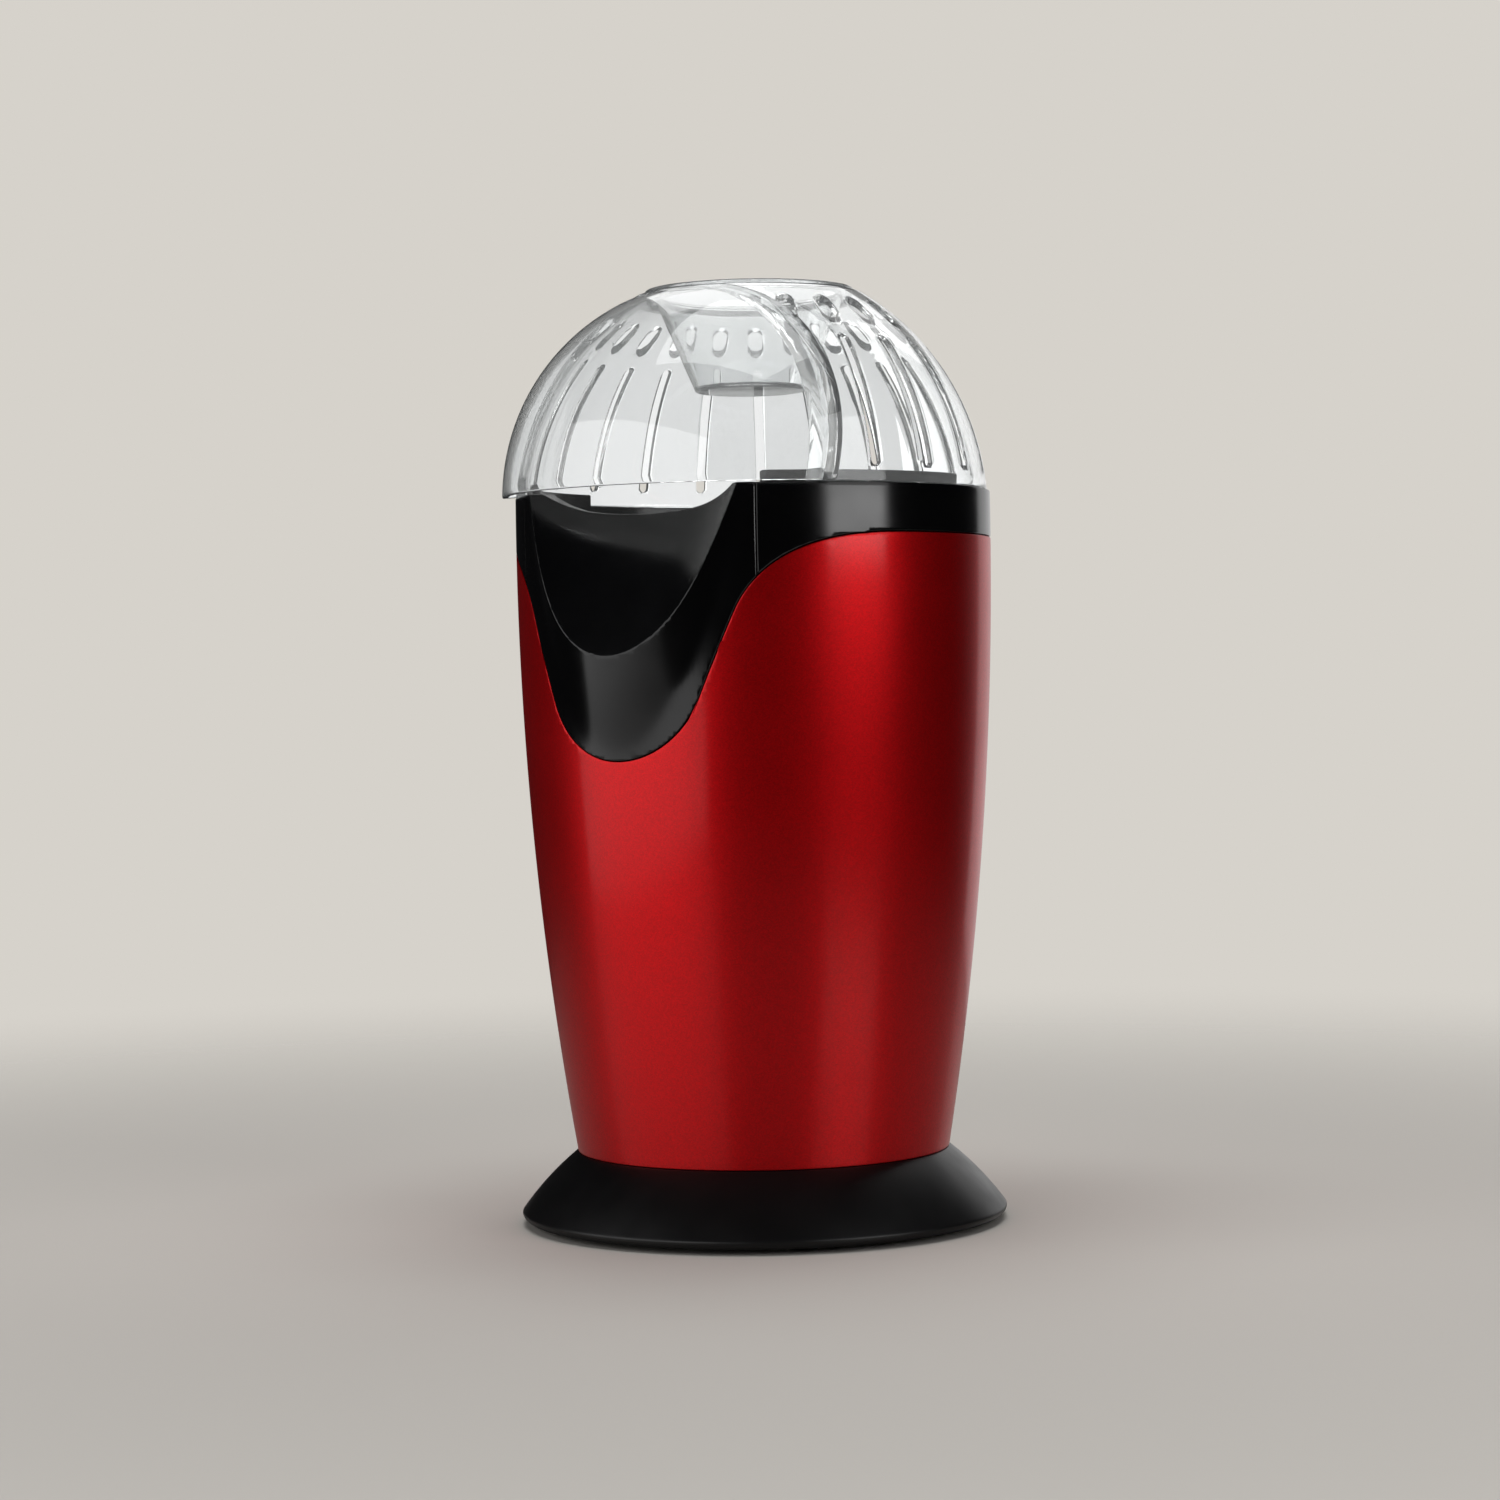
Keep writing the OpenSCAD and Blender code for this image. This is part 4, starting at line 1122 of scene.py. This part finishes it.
@dataclass
class Collar(SubAssembly):
    """Gloss collar with its funnel floor, its shoulder and the spigot under the hood."""

    edge_r: float = 0.45 * MM
    floor_t: float = 2.0 * MM
    cone_h: float = 4.6 * MM
    mouth_r: float = 42.0 * MM
    land: float = 1.5 * MM
    spigot_wall: float = 2.0 * MM
    spigot_clear: float = 0.35 * MM
    gap_from: float = 5.0
    gap_width: float = 55.0
    gap_steps: int = 44

    def spigot_gaps(self, form: BodyForm, inner_r: float, outer_r: float) -> Object:
        """Return the cutters of the two gaps in the spigot.

        Args:
            form: Form of the body.
            inner_r: Inner radius of the cutters.
            outer_r: Outer radius of the cutters.

        Returns:
            Both cutters as one object.
        """
        start, end = self.gap_from, self.gap_from + self.gap_width
        right = arc_points((0.0, 0.0), outer_r, start, end, self.gap_steps)
        right += arc_points((0.0, 0.0), inner_r, end, start, self.gap_steps)
        left = [(-x, y) for x, y in right]
        top_z = form.rim_z + 2 * form.spigot_h
        right_gap = prism("right_gap", right, form.rim_z, top_z, Matrix())
        return combine(right_gap, prism("left_gap", left, form.rim_z, top_z, Matrix()), Join.ADD)

    def funnel(self, form: BodyForm, hood: Hood) -> Object:
        """Make the funnel's floor and cone, the shoulder and the broken ring of the spigot.

        Args:
            form: Form of the body.
            hood: Hood that stands on the collar.

        Returns:
            The new solid.
        """
        top_z = form.rim_z + form.spigot_h
        spigot_r = hood.inner_r_at(top_z) - self.spigot_clear
        spigot_in = spigot_r - self.spigot_wall
        land_r = form.chute_back + self.land
        wall_r = form.radius - form.wall + form.fit
        cone_z = form.floor_z + self.cone_h
        funnel = revolve(
            "funnel",
            [
                (self.mouth_r, form.floor_z - self.floor_t),
                (land_r, form.floor_z - self.floor_t),
                (spigot_r, cone_z - self.floor_t),
                (wall_r, cone_z - self.floor_t),
                (wall_r, form.rim_z),
                (spigot_r, form.rim_z),
                (spigot_r, top_z),
                (spigot_in, top_z),
                (spigot_in, cone_z),
                (land_r, form.floor_z),
                (self.mouth_r, form.floor_z),
            ],
            form.segments,
            closed=True,
        )
        gaps = self.spigot_gaps(form, spigot_in - form.overlap, spigot_r + self.spigot_clear / 2)
        return combine(funnel, gaps, Join.CUT)

    def build(self, form: BodyForm, hood: Hood) -> None:
        """Model the collar's wall and funnel and cut the chute's notch.

        Args:
            form: Form of the body.
            hood: Hood that stands on the collar.
        """
        collar = form.flank_wall("top_collar_gloss", form.apron_z - form.spare, form.rim_z)
        combine(collar, form.above_seam("above_seam"), Join.KEEP_SHARED)
        combine(collar, self.funnel(form, hood), Join.ADD)
        combine(collar, form.chute_block("notch", form.seam_gap), Join.CUT)
        round_edges(collar, self.edge_r)
        self.seat(collar, "black_gloss", "top_collar")


@dataclass
class Chute(SubAssembly):
    """Gloss scoop: a trough in the collar that pours over a lip, with an apron under it.

    A leaning cylinder of radius bay_r carries the lip out in front of the body's flank, and
    blend is how softly the two run into each other.
    """

    edge_r: float = 0.25 * MM
    wall: float = 2.2 * MM
    lip_overhang: float = 3.0 * MM
    lip_rise: float = 32.0 * MM
    bay_r: float = 46.0 * MM
    trough_angle: float = 64.0
    bottom_r: float = 150.0 * MM
    bottom_half_w: float = 18.0 * MM
    side_r: float = 45.0 * MM
    crest_rise: float = 1.7 * MM
    tip_gap: float = 0.05 * MM
    blend: float = 0.6 * MM
    room_below: float = 6.0 * MM
    bands: int = 32

    def bay_place(self, form: BodyForm) -> Matrix:
        """Lean the cylinder that carries the lip out in front of the flank.

        Args:
            form: Form of the body.

        Returns:
            Place and turn of the cylinder.
        """
        tip_r = form.flank_r_at(form.apron_z) + self.tip_gap
        lean = math.atan((form.radius + self.lip_overhang - tip_r) / self.lip_rise)
        return Matrix.Translation((0, -tip_r, form.apron_z)) @ Matrix.Rotation(lean, 4, "X")

    def bay(self, form: BodyForm, inset: float) -> Object:
        """Make the leaning cylinder.

        Args:
            form: Form of the body.
            inset: Wall to leave off.

        Returns:
            The new solid.
        """
        length = 2 * (form.rim_z - form.apron_z)
        half_step = 180 / form.segments
        outline = arc_points(
            (0.0, self.bay_r), self.bay_r - inset, half_step - 90, half_step + 270, form.segments
        )[:-1]
        return prism("bay", outline, -length / 4, 3 * length / 4, self.bay_place(form))

    def front(self, form: BodyForm) -> Object:
        """Make the solid whose face runs smoothly from the flank into the leaning cylinder.

        Args:
            form: Form of the body.

        Returns:
            The new solid.
        """
        solid = form.flank_solid("front_chute_gloss", form.apron_z - form.spare, form.rim_z)
        to_bay = self.bay_place(form).inverted()
        middle = Vector((0, self.bay_r))
        for vertex in solid.data.vertices:
            flank_r = vertex.co.xy.length
            # where the level line from the axis through this point leaves the cylinder
            start = (to_bay @ Vector((0, 0, vertex.co.z))).xy - middle
            run = (to_bay.to_3x3() @ Vector((vertex.co.x, vertex.co.y, 0)) / flank_r).xy
            along, square = start.dot(run), run.dot(run)
            root = along**2 - square * (start.dot(start) - self.bay_r**2)
            bay_r = (math.sqrt(max(root, 0)) - along) / square
            # the larger of the two radii, softened where they are alike
            blended = (flank_r + bay_r + math.hypot(flank_r - bay_r, self.blend)) / 2
            vertex.co.xy *= blended / flank_r
        return solid

    def way_across(self, grow: float) -> list[Ring]:
        """Draw the popcorn's way across: a shallow bottom arc and a tighter arc up each side.

        Args:
            grow: How far the way is grown outwards.

        Returns:
            Points of the closed outline, from the bottom.
        """
        turn = math.degrees(math.asin(self.bottom_half_w / self.bottom_r))
        far = self.bottom_r - self.side_r
        side = (far * math.sin(math.radians(turn)), self.bottom_r - far * math.cos(math.radians(turn)))
        right = arc_points((0.0, self.bottom_r), self.bottom_r + grow, -90, -90 + turn, 8)
        right += arc_points(side, self.side_r + grow, -90 + turn, 0, 40)[1:]
        right.append((side[0] + self.side_r + grow, side[1] + self.side_r))
        return mirrored(right)

    def path(self, form: BodyForm, grow: float = 0.0) -> Object:
        """Make the popcorn's way: level over the floor, then down the trough.

        Args:
            form: Form of the body.
            grow: How far the way is grown outwards.

        Returns:
            The way as a solid.
        """
        crest_z = form.floor_z + self.crest_rise
        lip_z = form.apron_z + self.lip_rise
        lip_y = form.radius + self.lip_overhang
        crest_y = lip_y - (crest_z - lip_z) / math.tan(math.radians(self.trough_angle))
        crest = Matrix.Translation((0, -crest_y, crest_z))
        outline, radius = self.way_across(grow), form.radius
        flat = crest @ Matrix.Rotation(math.pi / 2, 4, "X")
        down = crest @ Matrix.Rotation(math.radians(90 + self.trough_angle), 4, "X")
        trough = prism("trough", outline, -radius / 2, 1.5 * radius, down, self.bands)
        return combine(trough, prism("level", outline, -radius / 3, radius / 3, flat), Join.ADD)

    def hollow(self, form: BodyForm) -> Object:
        """Make the room behind the apron and under the trough.

        Args:
            form: Form of the body.

        Returns:
            The room as a solid.
        """
        top_z = form.rim_z - self.wall
        room = form.flank_solid("room", form.apron_z - self.room_below, top_z, form.wall)
        combine(room, self.bay(form, self.wall), Join.ADD)
        half = form.chute_half_w - self.wall
        bottom_z = form.apron_z - 2 * form.spare
        sides = block("sides", Vector((-half, -form.reach, bottom_z)), Vector((half, 0, top_z)))
        combine(room, sides, Join.KEEP_SHARED)
        return combine(room, self.path(form, self.wall), Join.CUT)

    def build(self, form: BodyForm) -> None:
        """Model the scoop: cut its outline, its trough and the room behind it.

        Args:
            form: Form of the body.
        """
        chute = self.front(form)
        combine(chute, form.chute_block("sides"), Join.KEEP_SHARED)
        combine(chute, form.apron("apron"), Join.KEEP_SHARED)
        corner = Vector((form.reach, form.reach, form.reach + form.rim_z))
        top = block("top", Vector((-form.reach, -form.reach, form.rim_z)), corner)
        combine(chute, top, Join.CUT)
        combine(chute, self.path(form), Join.CUT)
        combine(chute, self.hollow(form), Join.CUT)
        round_edges(chute, self.edge_r)
        self.seat(chute, "black_gloss", "front_chute")


@dataclass
class Skirt(SubAssembly):
    """Flared satin base with the turret of the cord gland."""

    edge_r: float = 0.3 * MM
    lower_edge_r: float = 2.6 * MM
    lip_t: float = 1.4 * MM
    bulge_r: float = 94.0 * MM
    deck: float = 10.0 * MM
    locator_h: float = 6.0 * MM
    locator_t: float = 2.0 * MM
    turret_r: float = 7.2 * MM
    turret_l: float = 16.9 * MM
    flange_t: float = 2.4 * MM
    bore_r: float = 5.1 * MM

    def section(self, form: BodyForm) -> list[Ring]:
        """Draw the profile of the skirt's wall and of the ring that centres the shell.

        Args:
            form: Form of the body.

        Returns:
            Radius and height of each ring, once round the wall.
        """
        low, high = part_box("base_skirt")
        edge = (high.x - self.lower_edge_r, low.z + self.lower_edge_r)
        bulge = arc_centre((high.x, edge[1]), (form.base_r, form.base_z), self.bulge_r)
        under_z = form.base_z - form.wall
        locator_r = form.base_r - form.wall - form.fit
        locator_in = locator_r - self.locator_t
        deck_r = form.base_r - self.deck
        section = arc_points(edge, self.lower_edge_r, -90, 0, 10)
        section += arc_rings(bulge, self.bulge_r, edge[1], form.base_z, 32)[1:]
        section += [(locator_r, form.base_z), (locator_r, form.base_z + self.locator_h)]
        section += [(locator_in, form.base_z + self.locator_h), (locator_in, form.base_z)]
        section += [(deck_r, form.base_z), (deck_r, under_z)]
        section += arc_rings(bulge, self.bulge_r - form.wall, under_z, edge[1], 24)
        return section + arc_points(edge, self.lower_edge_r - self.lip_t, 0, -90, 8)

    def build(self, form: BodyForm) -> None:
        """Model the skirt's wall and the turret of the gland, with its bore.

        Args:
            form: Form of the body.
        """
        skirt = revolve("base_skirt_satin", self.section(form), form.segments, closed=True)
        gland_low, gland_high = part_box("cord_gland")
        gland_z = (gland_low.z + gland_high.z) / 2
        end_y = gland_high.y - self.flange_t
        for name, radius, start_y, stop_y, join in (
            ("turret", self.turret_r, end_y - self.turret_l, end_y, Join.ADD),
            ("bore", self.bore_r, gland_low.y, gland_high.y, Join.CUT),
        ):
            outline = arc_points((0.0, 0.0), radius, 0, 360, 96)[:-1]
            place = Matrix.Translation((0, 0, gland_z)) @ Matrix.Rotation(-math.pi / 2, 4, "X")
            combine(skirt, prism(name, outline, start_y, stop_y, place), join)
        round_edges(skirt, self.edge_r)
        self.seat(skirt, "black_satin", "base_skirt")


@dataclass
class InnerWorks:
    """Pieces of the frame whose shape is right and that only need a finish."""

    nodes: dict[str, Object]

    def build(self) -> None:
        """Dress each frame node that still shows, by the slot that its first material names."""
        for name, node in self.nodes.items():
            if node.hide_render:
                continue
            slot = node.data.materials[0].name.split(".")[0]
            FINISHES[slot].dress(node)
            LOG.info("%s: %s", name, slot)


# ---- studio ------------------------------------------------------------------


@dataclass(frozen=True)
class Softbox:
    """A flat lamp, placed by its turn to the right of the camera, its distance and its height."""

    name: str
    turn: float
    away: float
    up: float
    size: tuple[float, float]
    power: float
    mirrored: bool = True


@dataclass
class Studio:
    """Camera, lamps, room and floor, in metres, degrees and watts.

    Gloss sees the dark room and a share of polish on the floor, so that it shows the lamps
    and little else. The clear hood shows white beyond it, or grey once a ray has been mirrored.
    """

    azimuth: float = 35.0
    distance: float = 1.132
    eye_z: float = 0.171
    lens: float = 84.0
    pitch: float = 0.98
    pan: float = 0.115
    roll: float = 1.0
    backdrop: str = "#d6d2cb"
    beyond_glass: str = "#ffffff"
    within_glass: str = "#a8a8a6"
    dark_room: str = "#161617"
    floor_colour: str = "#cfcbc5"
    floor_mirror: str = "#b0aeaa"
    floor_r: float = 40.0
    fade_from: float = 0.25
    fade_to: float = 0.9
    polish_share: float = 0.6
    polish_roughness: float = 0.25
    aim_z: float = 0.15
    lamps: tuple[Softbox, ...] = (
        Softbox("right_softbox", 49, 1.2, 0.63, (0.8, 0.8), 2.5),
        Softbox("right_strip", 49, 1.2, 0.285, (0.62, 0.09), 0.85),
        Softbox("left_softbox", -60, 1.3, 0.4, (2.0, 1.2), 9.0),
        Softbox("rear_softbox", 165, 1.0, 1.4, (1.4, 1.0), 5.0),
        Softbox("rim_card", 155, 1.3, 0.3, (0.9, 0.8), 1.8),
        Softbox("top_softbox", 0, 0.0, 1.6, (1.2, 1.2), 14.0, mirrored=False),
    )

    def heading(self, turn: float) -> Vector:
        """Return the level direction from the axis, a turn to the right of the camera's."""
        angle = math.radians(self.azimuth + turn)
        return Vector((math.sin(angle), -math.cos(angle), 0))

    def place_camera(self) -> None:
        """Stand the camera in front, to the right, and tip, pan and roll it a little."""
        data = bpy.data.cameras.new("camera")
        data.lens = self.lens
        camera = bpy.data.objects.new("camera", data)
        bpy.context.scene.collection.objects.link(camera)
        turn = (
            Matrix.Rotation(math.radians(self.azimuth + self.pan), 4, "Z")
            @ Matrix.Rotation(math.radians(90 - self.pitch), 4, "X")
            @ Matrix.Rotation(math.radians(-self.roll), 4, "Z")
        )
        spot = self.heading(0) * self.distance + Vector((0, 0, self.eye_z))
        camera.matrix_world = Matrix.Translation(spot) @ turn
        bpy.context.scene.camera = camera

    def hang(self, softbox: Softbox) -> None:
        """Hang a softbox that faces the middle of the machine.

        Args:
            softbox: Its name, place, size and power, and whether glossy surfaces show it.
        """
        data = bpy.data.lights.new(softbox.name, "AREA")
        data.shape = "RECTANGLE"
        data.size, data.size_y = softbox.size
        data.energy = softbox.power
        lamp = bpy.data.objects.new(softbox.name, data)
        lamp.visible_glossy = softbox.mirrored
        bpy.context.scene.collection.objects.link(lamp)
        spot = self.heading(softbox.turn) * softbox.away + Vector((0, 0, softbox.up))
        aim = Vector((0, 0, self.aim_z)) - spot
        lamp.matrix_world = Matrix.Translation(spot) @ aim.to_track_quat("-Z", "Y").to_matrix().to_4x4()

    def paint_room(self) -> None:
        """Paint the room: pale to the eye, white through the clear hood and dark to all gloss."""
        world = bpy.data.worlds.new("room")
        bpy.context.scene.world = world
        world.use_nodes = True
        tree = world.node_tree
        tree.nodes.clear()
        ray = add_node(tree, "ShaderNodeLightPath").outputs
        once = add_node(tree, "ShaderNodeMath", {0: ray["Glossy Depth"], 1: 0.5}, operation="GREATER_THAN")
        colours = {MIX_A: linear(self.beyond_glass), MIX_B: linear(self.within_glass)}
        colours[MIX_FACTOR] = once.outputs["Value"]
        glass = add_node(tree, "ShaderNodeMix", colours, data_type="RGBA").outputs[MIX_RESULT]
        colour = linear(self.dark_room)
        for ray_kind, shown in (("Is Camera Ray", linear(self.backdrop)), ("Is Transmission Ray", glass)):
            colours = {MIX_FACTOR: ray[ray_kind], MIX_A: colour, MIX_B: shown}
            colour = add_node(tree, "ShaderNodeMix", colours, data_type="RGBA").outputs[MIX_RESULT]
        light = add_node(tree, "ShaderNodeBackground", {"Color": colour, "Strength": 1.0})
        add_node(tree, "ShaderNodeOutputWorld", {"Surface": light.outputs["Background"]})

    def lay_floor(self) -> None:
        """Lay a pale floor that fades into the backdrop and that gloss sees as half polished."""
        select_only()
        bpy.ops.mesh.primitive_circle_add(vertices=96, radius=self.floor_r, fill_type="NGON")
        floor = bpy.context.object
        floor.name = "floor"
        paint = bpy.data.materials.new("matt_floor_paint")
        paint.use_nodes = True
        tree = paint.node_tree
        tree.nodes.clear()
        spot = add_node(tree, "ShaderNodeTexCoord").outputs["Object"]
        far = add_node(tree, "ShaderNodeVectorMath", {0: spot}, operation="LENGTH").outputs["Value"]
        fade = add_node(
            tree,
            "ShaderNodeMapRange",
            {"Value": far, "From Min": self.fade_from, "From Max": self.fade_to},
            interpolation_type="SMOOTHSTEP",
        ).outputs["Result"]
        matt = add_node(tree, "ShaderNodeBsdfDiffuse", {"Color": linear(self.floor_colour)})
        polish = add_node(
            tree,
            "ShaderNodeBsdfAnisotropic",
            {"Color": linear(self.floor_mirror), "Roughness": self.polish_roughness},
        )
        gloss = add_node(tree, "ShaderNodeLightPath").outputs["Is Glossy Ray"]
        share = add_node(tree, "ShaderNodeMath", {0: gloss, 1: self.polish_share}, operation="MULTIPLY")
        near = add_node(
            tree,
            "ShaderNodeMixShader",
            {0: share.outputs["Value"], 1: matt.outputs["BSDF"], 2: polish.outputs["BSDF"]},
        )
        away = add_node(tree, "ShaderNodeBsdfTransparent")
        shown = add_node(
            tree, "ShaderNodeMixShader", {0: fade, 1: near.outputs["Shader"], 2: away.outputs["BSDF"]}
        )
        add_node(tree, "ShaderNodeOutputMaterial", {"Surface": shown.outputs["Shader"]})
        floor.data.materials.append(paint)

    def build(self) -> None:
        """Set up the whole studio."""
        bpy.context.scene.view_settings.view_transform = "Standard"
        self.paint_room()
        self.lay_floor()
        for softbox in self.lamps:
            self.hang(softbox)


def main() -> None:
    """Dress the popcorn maker and set up its studio."""
    logging.basicConfig(level=logging.INFO, format="%(message)s")
    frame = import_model()
    studio = Studio()
    studio.place_camera()
    form, hood = BodyForm(), Hood()
    Shell().build(form)
    Collar().build(form, hood)
    Chute().build(form)
    Skirt().build(form)
    hood.build()
    MeasuringCup().build()
    InnerWorks(frame["nodes"]).build()
    studio.build()


if __name__ == "__main__":
    main()
